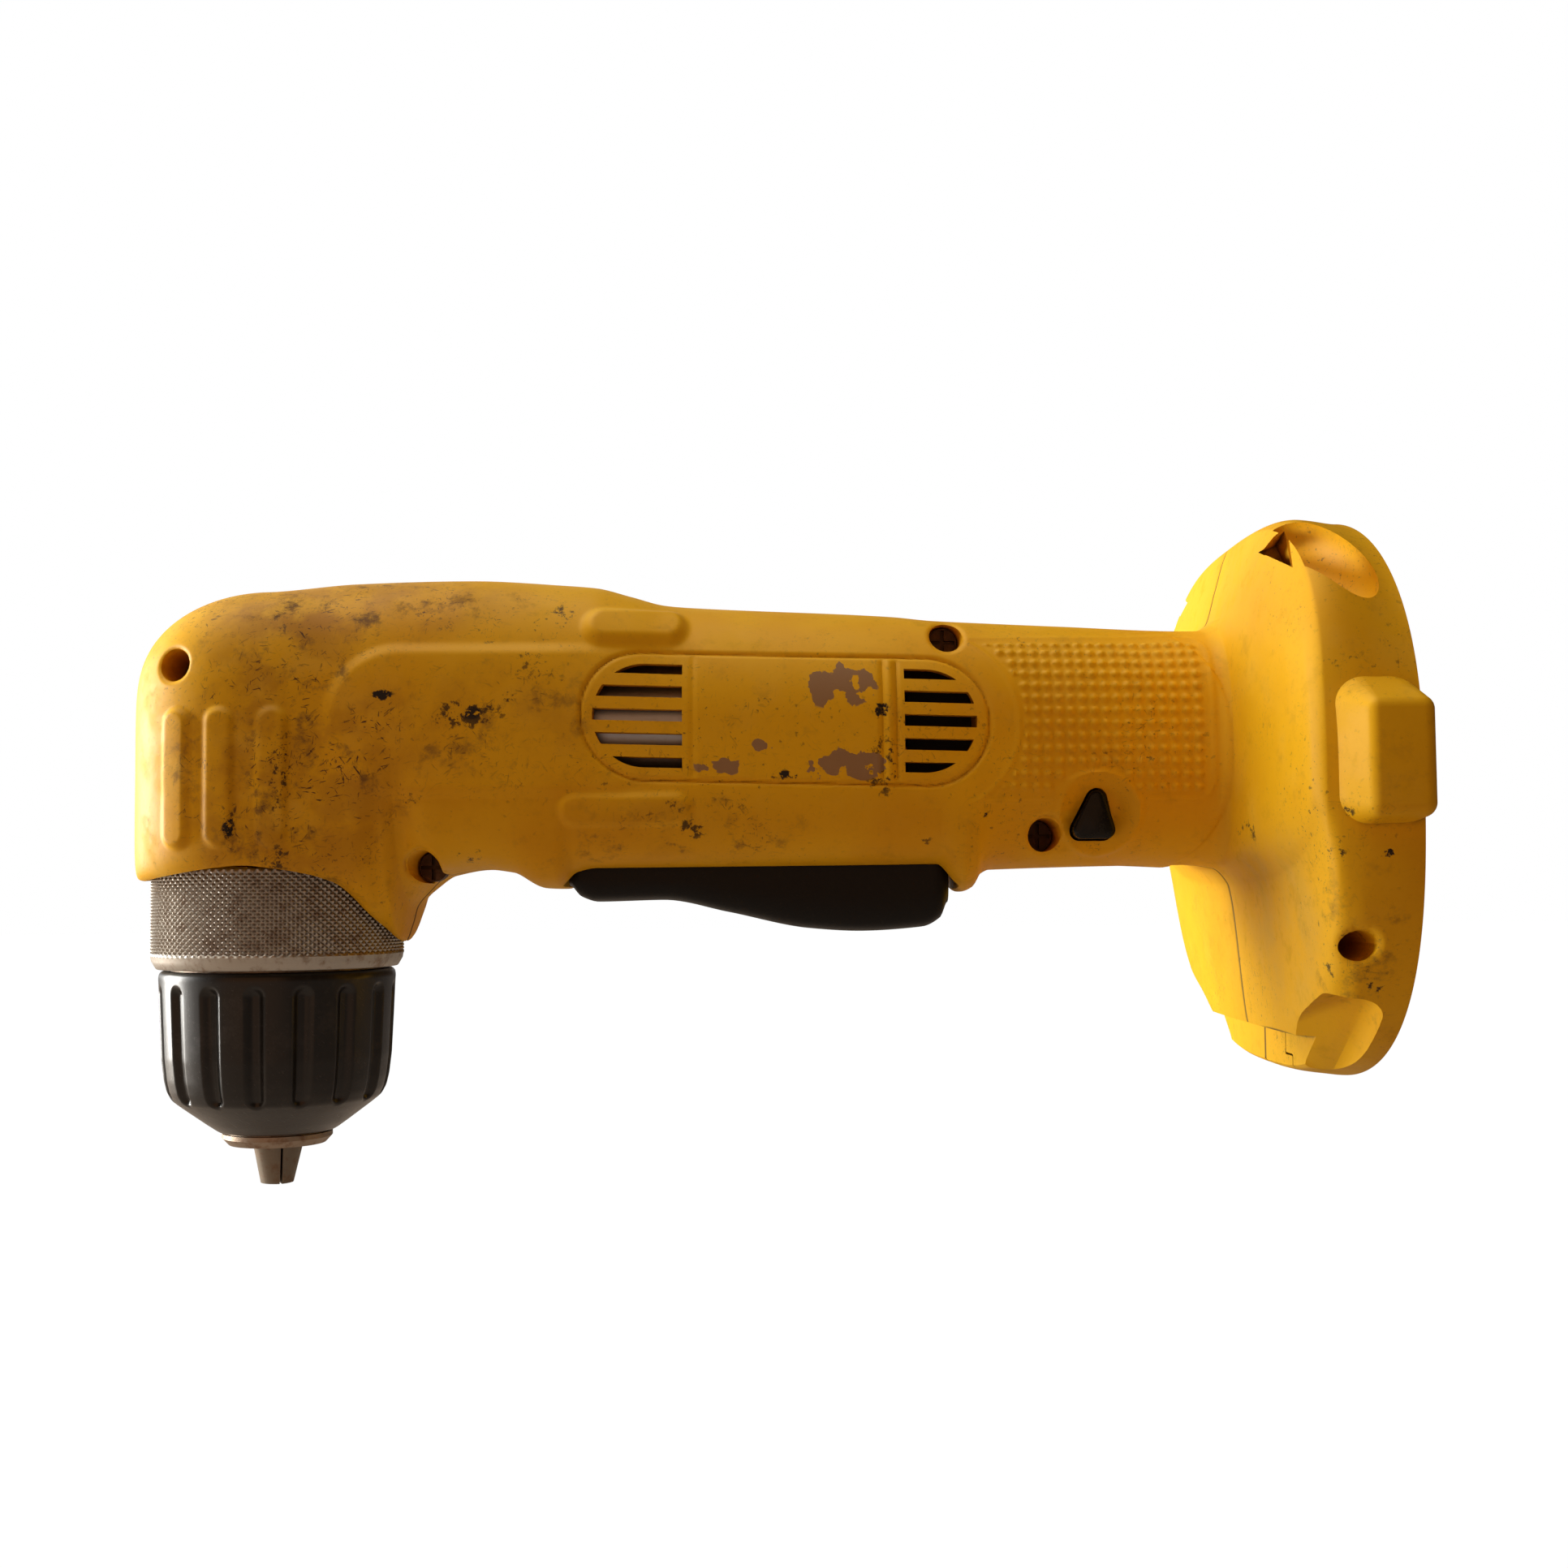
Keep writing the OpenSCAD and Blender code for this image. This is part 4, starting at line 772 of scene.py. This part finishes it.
def make_sleeve():
    """Black sleeve: soft shoulder, tapered cone and sixteen round-ended finger flutes."""
    flute_count, flute_turn, flute_half_w, flute_depth = 16, 4, 1.15, 0.95
    bore_r, hub_r, nut_r = 8.3, collar_r - 2.9, sleeve_r - 3
    z0, z1 = sleeve_low[2], sleeve_high[2]
    nut_z0, nut_z1 = z0 + 11.5, z0 + 11.5 + 5.9
    outside = [
        (9.0, z0), (9.35, z0 + 0.15), (11.2, z0 + 1.45), (14.7, z0 + 4.05), (16.3, z0 + 5.3),
        (17.05, z0 + 6.7), (17.5, z0 + 8.6), (17.9, z0 + 12), (18.2, z0 + 18.2), (18.42, z0 + 23.4),
        (18.5, z1 - 0.9), (18.25, z1 - 0.2), (17.7, z1),
    ]
    average = np.ones(7) / 7
    columns = even(np.array(outside), 220).T
    outer = np.stack([np.convolve(np.pad(c, 3, mode="edge"), average, "valid") for c in columns], axis=1)
    inside = [(hub_r, z1), (hub_r, nut_z1), (nut_r, nut_z1), (nut_r, nut_z0), (bore_r, nut_z0), (bore_r, z0)]
    around = 768
    rings = lathe_rings(np.concatenate([outer, inside]), around)
    turn = np.linspace(0, 360, around, endpoint=False)
    pitch = 360 / flute_count
    across = (np.mod(turn - flute_turn + pitch / 2, pitch) - pitch / 2) * np.pi / 180 * sleeve_r
    across, z = np.meshgrid(across, outer[:, 1])
    flute = rounded_box(across, z, -flute_half_w, flute_half_w, z0 + 5.4, z1 - 2.6, 1.1)
    depth = flute_depth * raised(flute, 1.5)
    rings[: len(outer), :, :2] *= (1 - depth / outer[:, 0:1])[..., None]
    sleeve = loft("sleeve_fluted", rings, capped=False)
    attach(sleeve, "sleeve")
    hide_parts("chuck_sleeve")
    return smooth(sleeve, 50)


# The paddle and the button

paddle_x0, paddle_x1 = paddle_low[0], paddle_high[0]
paddle_wall = 2
paddle_line = [
    (paddle_x0, belly_z - 2.6), (paddle_x0 + 1.8, belly_z - 4.3), (paddle_x0 + 4.4, belly_z - 5.1),
    (paddle_x0 + 14.7, belly_z - 4.9), (paddle_x0 + 25, belly_z - 6.9), (paddle_x0 + 38, belly_z - 9.6),
    (paddle_x0 + 46, belly_z - 10.1), (paddle_x1 - 4, belly_z - 9.5), (paddle_x1 - 1.2, belly_z - 8.1),
    (paddle_x1, belly_z - 5.7),
]


def paddle_rings(inset, top):
    """Rings along the paddle: flat above, with rounded lower edges and eased ends."""
    under = smooth_line(paddle_line)
    end_len, end_share = 2.5, 0.86
    x0, x1 = paddle_x0 + inset, paddle_x1 - inset
    xs = x0 + (x1 - x0) * (1 - np.cos(np.linspace(0, np.pi, 90))) / 2
    turn = np.linspace(0, np.pi, 48)
    rings = []
    for x in xs:
        ease = min(1, max(0.0, (x - x0) / end_len), max(0.0, (x1 - x) / end_len))
        half = (paddle_high[1] - inset) * (end_share + (1 - end_share) * math.sqrt(1 - (1 - ease) ** 2))
        low = min(under(x) + inset, top - 0.5)
        y = -half * np.sign(np.cos(turn)) * np.abs(np.cos(turn)) ** 0.36
        z = top - (top - low) * np.abs(np.sin(turn)) ** 0.42
        rings.append(np.column_stack([np.full(len(turn), x), y, z]))
    return np.stack(rings)


def make_paddle():
    """Hollow trigger with a round ear on its pin."""
    ear_r, half_w = 2.4, paddle_high[1]
    paddle = loft("paddle_grip", paddle_rings(0, belly_z + 0.3))
    room = loft("paddle_room", paddle_rings(paddle_wall, belly_z + 2))
    combine(paddle, room, "DIFFERENCE")
    combine(paddle, rod("ear", (pin_x, paddle_low[1], pin_z), 1, 2 * half_w, ear_r), "UNION")
    combine(paddle, rod("pin_hole", (pin_x, -2 * half_w, pin_z), 1, 4 * half_w, pin_hole_r), "DIFFERENCE")
    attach(paddle, "paddle")
    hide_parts("paddle")
    return smooth(paddle, 40)


def make_button():
    """Glossy button with a rounded triangular end on each side of the handle."""
    half = button_high[1]
    near_edge = [(-half, -0.55), (-half + 0.12, -0.22), (-half + 0.4, 0)]
    far_edge = [(-y, grow) for y, grow in reversed(near_edge)]
    rings = [ring_at(button_outline(grow), y) for y, grow in near_edge + far_edge]
    button = loft("button_triangular", np.stack(rings))
    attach(button, "direction")
    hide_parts("direction_button")
    return smooth(button, 35)


# Finishes

class Value:
    """A number or colour that varies over a surface; arithmetic on numbers adds Math nodes."""

    def __init__(self, shading, socket):
        self.shading = shading
        self.socket = socket

    def math(self, kind, first, second):
        return self.shading.node("ShaderNodeMath", {"operation": kind}, {0: first, 1: second})

    def __add__(self, other):
        return self.math("ADD", self, other)

    def __sub__(self, other):
        return self.math("SUBTRACT", self, other)

    def __mul__(self, other):
        return self.math("MULTIPLY", self, other)

    def __rsub__(self, other):
        return self.math("SUBTRACT", other, self)

    __radd__ = __add__
    __rmul__ = __mul__


class Shading:
    """The nodes of a material or of the world."""

    def __init__(self, owner):
        owner.use_nodes = True
        self.tree = owner.node_tree

    def node(self, kind, settings=None, sockets=None, out=0):
        """Adds a node, sets its settings and then the values or links of its sockets."""
        made = self.tree.nodes.new(kind)
        for key, value in (settings or {}).items():
            setattr(made, key, value)
        for key, value in (sockets or {}).items():
            if isinstance(value, Value):
                self.tree.links.new(value.socket, made.inputs[key])
            else:
                made.inputs[key].default_value = value
        return Value(self, made.outputs[out])

    def rays(self):
        """1 for what the camera sees, for what is seen in reflections and for what is seen through glass."""
        kinds = ("Is Camera Ray", "Is Glossy Ray", "Is Transmission Ray")
        return [self.node("ShaderNodeLightPath", out=kind) for kind in kinds]

    def show_mix(self, output, share, first, second):
        """Ends the tree in a mix of two shaders."""
        mixed = self.node("ShaderNodeMixShader", None, {0: share, 1: first, 2: second})
        self.tree.links.new(mixed.socket, self.tree.nodes[output].inputs["Surface"])


class Finish(Shading):
    """A material that ends in one principled shader, with places in millimetres."""

    def __init__(self, name, **constants):
        self.material = bpy.data.materials.new(name)
        super().__init__(self.material)
        self.shader = self.tree.nodes["Principled BSDF"]
        for socket, value in constants.items():
            self.shader.inputs[socket.replace("_", " ")].default_value = value
        place = self.node("ShaderNodeTexCoord", out="Object")
        self.place = self.node("ShaderNodeVectorMath", {"operation": "SCALE"}, {0: place, "Scale": 1 / MM})

    def feed(self, socket, value):
        self.tree.links.new(value.socket, self.shader.inputs[socket])

    def mix(self, share, first, second):
        return self.node("ShaderNodeMix", {"data_type": "RGBA"}, {0: share, 6: first, 7: second}, out=2)

    def noise(self, scale, detail=2.0, roughness=0.5, place=None):
        return self.node(
            "ShaderNodeTexNoise", None,
            {"Vector": place or self.place, "Scale": scale, "Detail": detail, "Roughness": roughness},
        )

    def rise(self, value, low, high):
        """0 below low and 1 above high, eased between them."""
        eased = {"interpolation_type": "SMOOTHSTEP"}
        return self.node("ShaderNodeMapRange", eased, {0: value, 1: low, 2: high})

    def patches(self, low, high, scale, detail=2.0, roughness=0.5, place=None):
        """Patches of noise, 0 where it is below low and 1 where it is above high."""
        return self.rise(self.noise(scale, detail, roughness, place), low, high)

    def stretched(self, turn, scale):
        """The place, turned by degrees about each axis and then scaled along each axis."""
        turned = tuple(math.radians(a) for a in turn)
        sizes = tuple(1 / s for s in scale)
        sockets = {"Vector": self.place, "Rotation": turned, "Scale": sizes}
        return self.node("ShaderNodeMapping", {"vector_type": "TEXTURE"}, sockets)

    def along(self, axis):
        return self.node("ShaderNodeSeparateXYZ", None, {0: self.place}, out=axis)

    def near(self, centre, radii):
        """1 about a centre in millimetres, falling to 0 at the radii from it."""
        offset = self.node("ShaderNodeVectorMath", {"operation": "SUBTRACT"}, {0: self.place, 1: centre})
        share = self.node("ShaderNodeVectorMath", {"operation": "DIVIDE"}, {0: offset, 1: radii})
        length = self.node("ShaderNodeVectorMath", {"operation": "LENGTH"}, {0: share}, out="Value")
        return 1 - self.rise(length, 0.45, 1.0)

    def near_any(self, places):
        """Sum of the nearness to several places, each a centre and radii."""
        return sum(self.near(centre, radii) for centre, radii in places)

    def crevice(self, distance, samples=6):
        """1 in corners and grooves narrower than the distance in millimetres, 0 on open faces."""
        settings = {"samples": samples, "only_local": True}
        return 1 - self.node("ShaderNodeAmbientOcclusion", settings, {"Distance": distance * MM}, out="AO")

    def bump(self, height, strength, distance):
        sockets = {"Height": height, "Strength": strength, "Distance": distance * MM}
        self.feed("Normal", self.node("ShaderNodeBump", None, sockets))


# Places on the yellow shell: centre and radii of each
head_places = [((6, -20, 66), (24, 16, 30)), ((14, -12, 90), (36, 14, 10))]
pad_places = [((36, -20, 72), (22, 12, 12)), ((68, -20, 55), (20, 12, 7))]
foot_places = [((160, -50, 34), (12, 18, 18)), ((60, -20, 52), (30, 12, 5))]
label_places = [
    ((90, -20, 77.4), (7.5, 8, 4.6)), ((91, -20, 65), (8, 8, 3.2)), ((72, -20, 65), (4.5, 8, 2)),
    ((79, -20, 68), (2.4, 8, 1.6)),
]
stroke_turns = (12, 52, 95, 138, 166)

# Colours of the yellow shell, of what has soiled it, and of the painted shade in its grooves and under its
# foot's lobe
clean_yellow = (0.88, 0.49, 0.007, 1)
deep_yellow = (0.82, 0.425, 0.005, 1)
pale_yellow = (0.86, 0.56, 0.09, 1)
dull_yellow = (0.66, 0.45, 0.08, 1)
brown_film = (0.46, 0.205, 0.011, 1)
grime = (0.17, 0.085, 0.022, 1)
# Dirt and painted shade in grooves and corners
groove_dirt_and_shade_brown = (0.10, 0.05, 0.014, 1)
scratch_brown = (0.07, 0.034, 0.012, 1)
# Dark seam, also used for the painted shadow under the foot's front lobe
seam_and_lobe_shadow_brown = (0.06, 0.03, 0.01, 1)
soot = (0.022, 0.016, 0.012, 1)
bare_label = (0.34, 0.20, 0.10, 1)


def scratch_strokes(f):
    """Short scratches in five directions."""
    places = [f.stretched((9, turn, -6), (0.42, 1.6, 2.7)) for turn in stroke_turns]
    return sum(f.patches(0.665, 0.71, 1, 2, 0.5, place) for place in places)


def torn_label(f):
    """Ragged patches where a label has come off."""
    label = f.near_any(label_places)
    return f.rise(f.noise(0.36, 4, 0.5) + 0.17 * label, 0.60, 0.612) * f.rise(label, 0.05, 0.25)


def dark_seam_and_lobe_shadow(f):
    """Dark seam between the halves, and a painted shadow along the step under the foot's front lobe."""
    from_seam = f.node("ShaderNodeMath", {"operation": "ABSOLUTE"}, {0: f.along("Y")})
    seam = 1 - f.rise(from_seam, 0.2, 0.7)
    # Painted shadow: a dark band on the lip just under the lobe's overhang
    painted_lobe_shadow = f.near((crease_x + 2.5, -17, foot_low + 7.8), (6, 12, 0.6))
    return seam * 0.9 + painted_lobe_shadow * 0.9


def yellow_plastic():
    """Satin yellow moulding, rubbed and scuffed, with dirt and painted shade in its grooves and a painted
    shadow under its foot's lobe.
    """
    f = Finish("worn_yellow_plastic", Specular_IOR_Level=0.2)
    head_grime, pad_grime = f.near_any(head_places), f.near_any(pad_places)
    foot_grime = f.near_any(foot_places)
    dirty_area = f.patches(0.42, 0.68, 0.05, 3)

    # Rubbed and faded colour
    colour = f.mix(f.patches(0.38, 0.62, 0.035, 3), clean_yellow, deep_yellow)
    on_head = 1 - f.rise(f.along("X"), -4.0, 26.0)
    haze = f.patches(0.46, 0.68, 0.11, 6, 0.62)
    colour = f.mix(haze * (0.12 + 0.32 * on_head), colour, pale_yellow)
    foot_front = f.near((153, -30, 40), (6, 24, 20))
    colour = f.mix(foot_front * f.patches(0.4, 0.62, 0.09, 5) * 0.35, colour, dull_yellow)

    # Film and smears of grime
    film = 0.3 + 0.7 * f.patches(0.4, 0.62, 0.13, 5, 0.6)
    colour = f.mix(film * (0.62 * head_grime + 0.35 * pad_grime), colour, brown_film)
    smear = f.patches(0.52, 0.70, 0.21, 8, 0.7)
    smeared = 0.16 + 0.75 * head_grime + 0.5 * pad_grime + 0.4 * foot_grime
    colour = f.mix(smear * smeared, colour, grime)

    # Sooty specks, worn spots and scratches
    worn_share = sum(strength * f.near(centre, radii) for centre, radii, strength in worn)
    specks = f.patches(0.62, 0.68, 1.15, 4, 0.65)
    spots = f.rise(f.noise(0.62, 6, 0.75) + 0.15 * worn_share, 0.625, 0.68)
    colour = f.mix(specks * (0.08 + 0.6 * dirty_area), colour, soot)
    colour = f.mix(spots * (0.2 + 0.9 * worn_share), colour, soot)
    cluster = 0.2 + 0.8 * f.patches(0.44, 0.6, 0.15, 4, 0.6)
    stroked = cluster * (0.06 + 0.3 * dirty_area + 0.65 * head_grime + 0.4 * pad_grime)
    colour = f.mix(scratch_strokes(f) * stroked, colour, scratch_brown)

    # Torn label, dark seam, painted shadow under the lobe, and dirt and painted shade in the grooves
    colour = f.mix(torn_label(f), colour, bare_label)
    colour = f.mix(dark_seam_and_lobe_shadow(f), colour, seam_and_lobe_shadow_brown)
    # Darker in grooves and corners that ambient occlusion finds: dirt and painted shade
    groove_dirt_and_shade = f.rise(f.crevice(1.6), 0.18, 0.62) * (0.35 + 0.65 * f.patches(0.35, 0.6, 0.5, 4))
    colour = f.mix(groove_dirt_and_shade * 0.85, colour, groove_dirt_and_shade_brown)
    f.feed("Base Color", colour)
    f.feed("Roughness", 0.46 + 0.16 * haze + 0.12 * smear + 0.08 * f.noise(2.2, 2))
    grain = f.noise(3.4, 3, 0.6) * 0.5 + 0.9 * f.noise(0.35, 3) - 0.7 * specks - 0.5 * spots
    f.bump(grain, 0.22, 0.12)
    return f.material


def black_plastic(name, base, roughness, scuff, coat=0.0):
    """Satin black plastic with pale rubbed scuffs and fine strokes."""
    f = Finish(name, Specular_IOR_Level=0.22, Coat_Weight=coat, Coat_Roughness=0.24)
    rubbed = f.patches(0.5, 0.72, 0.16, 6, 0.65)
    strokes = f.patches(0.66, 0.72, 1, 2, 0.5, f.stretched((20, 35, 50), (0.3, 3, 3)))
    dust = f.patches(0.62, 0.70, 1.6, 4, 0.7)
    pale = tuple(min(1, c * 3 + 0.01) for c in base) + (1,)
    colour = f.mix((rubbed * 0.6 + strokes * 0.55 + dust * 0.35) * scuff, (*base, 1), pale)
    f.feed("Base Color", colour)
    f.feed("Roughness", roughness + 0.14 * rubbed - 0.06 * strokes + 0.08 * f.noise(1.2, 3))
    f.bump(f.noise(2.6, 3) - 0.8 * strokes, 0.18, 0.08)
    return f.material


def metal(name, base, roughness, grain=(1, 1, 1), tarnish=(0.2, 0.12, 0.07), tarnished=0.4, grooves=0.0):
    """Bare metal with machining lines along a stretched grain, patches of tarnish, and dirt and painted shade
    in its grooves.
    """
    f = Finish(name, Metallic=1.0)
    metal_groove_dirt_and_shade = (0.05, 0.035, 0.022, 1)
    marks = f.noise(2.4, 4, 0.6, f.stretched((0, 0, 0), grain))
    patches = f.patches(0.47, 0.68, 0.55, 6, 0.68)
    colour = f.mix(marks * 0.35, (*base, 1), tuple(c * 0.72 for c in base) + (1,))
    colour = f.mix(patches * tarnished, colour, (*tarnish, 1))
    if grooves:
        # Darker in grooves that ambient occlusion finds: dirt and painted shade
        colour = f.mix(f.rise(f.crevice(0.6, 8), 0.15, 0.6) * grooves, colour, metal_groove_dirt_and_shade)
    f.feed("Base Color", colour)
    f.feed("Roughness", roughness + 0.14 * marks + 0.22 * patches * tarnished)
    f.bump(marks, 0.12, 0.05)
    return f.material


def paint(piece, material):
    piece.data.materials.clear()
    piece.data.materials.append(material)


def dress_nodes():
    """Finishes of the CAD nodes that stay as they are."""
    steel = metal("machined_steel", (0.56, 0.55, 0.53), 0.28, (1, 1, 6), tarnished=0.15)
    can = metal("plated_can", (0.42, 0.47, 0.53), 0.26, (6, 1, 1), tarnished=0.08)
    jaw = metal("ground_jaw_steel", (0.22, 0.185, 0.145), 0.38, (5, 5, 1), tarnished=0.55, grooves=0.5)
    nose_ring = metal("rubbed_nose_steel", (0.36, 0.285, 0.22), 0.4, (1, 1, 5), (0.22, 0.12, 0.07), 0.6, 0.4)
    browned = metal("browned_screw", (0.09, 0.055, 0.035), 0.5, tarnished=0.7, grooves=0.6)
    cast = metal("cast_case_alloy", (0.66, 0.67, 0.68), 0.42, tarnished=0.1)
    bronze = metal("sintered_bronze", (0.66, 0.43, 0.20), 0.38, tarnished=0.3)
    copper = metal("copper_windings", (0.72, 0.34, 0.17), 0.34, (8, 1, 1), tarnished=0.3)
    magnet = metal("ceramic_magnet", (0.10, 0.10, 0.105), 0.62, tarnished=0.2)
    inner = black_plastic("matt_inner_plastic", (0.02, 0.02, 0.021), 0.55, 0.3)
    carbon = black_plastic("carbon_brush", (0.03, 0.03, 0.03), 0.6, 0.4)
    finishes = {
        steel: [
            "spindle_bearing", "pinion_bearing", "ring_gear", "spindle", "bevel_gear", "chuck_screw",
            "jaw_nut", "bevel_pinion", "planet_carrier", "planet_1", "planet_2", "planet_3",
            "armature_shaft", "sun_gear", "paddle_pin", "switch_plunger",
        ],
        can: ["motor_can"],
        jaw: ["jaw_1", "jaw_2", "jaw_3"],
        nose_ring: ["chuck_body"],
        browned: ["housing_screws"],
        cast: ["gear_case"],
        bronze: ["spindle_bush", "terminal_blades"],
        copper: ["armature_core", "commutator", "motor_leads"],
        magnet: ["motor_magnets"],
        inner: ["switch_body", "terminal_block", "motor_end_cap", "cooling_fan"],
        carbon: ["carbon_brushes"],
    }
    for material, nodes in finishes.items():
        for node in nodes:
            paint(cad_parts[node], material)


# Stage, light and camera

def backdrop_finish(name):
    """Pale floor that reads as white to the camera and keeps a trace of the shadow."""
    f = Finish(name, Base_Color=(0.40, 0.31, 0.23, 1), Roughness=0.9)
    seen, glossy, through = f.rays()
    white = f.node("ShaderNodeEmission", None, {"Color": (1, 1, 1, 1), "Strength": 1.03})
    share = seen * 0.985 + (glossy + through) * 0.1
    f.show_mix("Material Output", share, Value(f, f.shader.outputs[0]), white)
    return f.material


def make_stage():
    """Wide floor well below the tool."""
    floor_z, reach = foot_low - 110, 6000
    corners = [(x * reach, y * reach, floor_z) for x, y in ((-1, -1), (1, -1), (1, 1), (-1, 1))]
    floor = solid("floor", corners, [(0, 1, 2, 3)])
    floor.data.materials.append(backdrop_finish("pale_floor"))


def area_light(name, place, target, size, power, tint):
    lamp = bpy.data.lights.new(name, "AREA")
    lamp.shape = "RECTANGLE"
    lamp.size, lamp.size_y = (s * MM for s in size)
    lamp.energy = power
    lamp.color = tint
    stand = placed(name, lamp)
    stand.location = Vector(place) * MM
    stand.rotation_euler = (Vector(target) - Vector(place)).to_track_quat("-Z", "Y").to_euler()


def make_world():
    """Dim warm room, with a white backdrop for the camera and a bright window side for reflections."""
    window_way = (-0.7, 0.7, 0.1)
    world = bpy.data.worlds.new("white_room")
    sky = Shading(world)
    seen, glossy, through = sky.rays()
    way = sky.node("ShaderNodeTexCoord", out="Generated")
    facing = {"operation": "DOT_PRODUCT"}
    toward = sky.node("ShaderNodeVectorMath", facing, {0: way, 1: window_way}, out="Value")
    window = sky.node("ShaderNodeMapRange", None, {0: toward, 1: 0.5, 2: 0.8, 4: 0.6})
    room = sky.node("ShaderNodeBackground", None, {"Color": (1, 0.62, 0.38, 1), "Strength": 0.07})
    white = sky.node("ShaderNodeBackground", None, {"Color": (1, 1, 1, 1), "Strength": 1.0})
    sky.show_mix("World Output", (glossy + through) * window + seen, room, white)
    bpy.context.scene.world = world


def make_lights():
    """Low window on the left, soft light from above and a weak warm glow from the front."""
    centre = (75, 0, 65)
    area_light("window_left", (-890, 230, 115), centre, (480, 500), 18, (1.0, 0.98, 0.93))
    area_light("ceiling", (-250, -20, 900), centre, (800, 800), 6.5, (1.0, 0.93, 0.82))
    area_light("room_front", (-160, -900, 160), centre, (1100, 900), 1.4, (1.0, 0.47, 0.22))
    make_world()
    bpy.context.scene.view_settings.view_transform = "Standard"


def make_camera():
    """Camera level with the tool's middle, looking along +Y, tipped up and rolled a little."""
    photo_px, focal_px, sensor = 1932, 2280, 36
    place, pitch, roll = (81.82, -300, 46.43), math.radians(3.2), math.radians(0.5)
    forward = Vector((0, math.cos(pitch), math.sin(pitch)))
    right, up = Vector((1, 0, 0)), Vector((0, -math.sin(pitch), math.cos(pitch)))
    x_axis = math.cos(roll) * right - math.sin(roll) * up
    y_axis = math.sin(roll) * right + math.cos(roll) * up
    data = bpy.data.cameras.new("camera")
    data.sensor_width = sensor
    data.lens = sensor * focal_px / photo_px
    data.clip_start, data.clip_end = 0.01, 50
    camera = placed("camera", data)
    axes = Matrix((x_axis, y_axis, -forward)).transposed()
    camera.matrix_world = Matrix.Translation(Vector(place) * MM) @ axes.to_4x4()
    bpy.context.scene.camera = camera


make_camera()
make_stage()
make_lights()
yellow = yellow_plastic()
sleeve_black = black_plastic("sleeve_black", (0.0075, 0.0066, 0.006), 0.34, 1.0, 0.5)
paddle_black = black_plastic("paddle_black", (0.0045, 0.004, 0.0038), 0.42, 0.35)
button_black = black_plastic("button_black", (0.006, 0.006, 0.006), 0.16, 0.4)
collar_steel = metal("knurled_steel", (0.47, 0.435, 0.385), 0.36, (1, 1, 4), (0.20, 0.12, 0.07), 0.55, 0.75)
for shell_half in make_shell():
    paint(shell_half, yellow)
paint(make_collar(), collar_steel)
paint(make_sleeve(), sleeve_black)
paint(make_paddle(), paddle_black)
paint(make_button(), button_black)
dress_nodes()

bpy.context.view_layer.update()
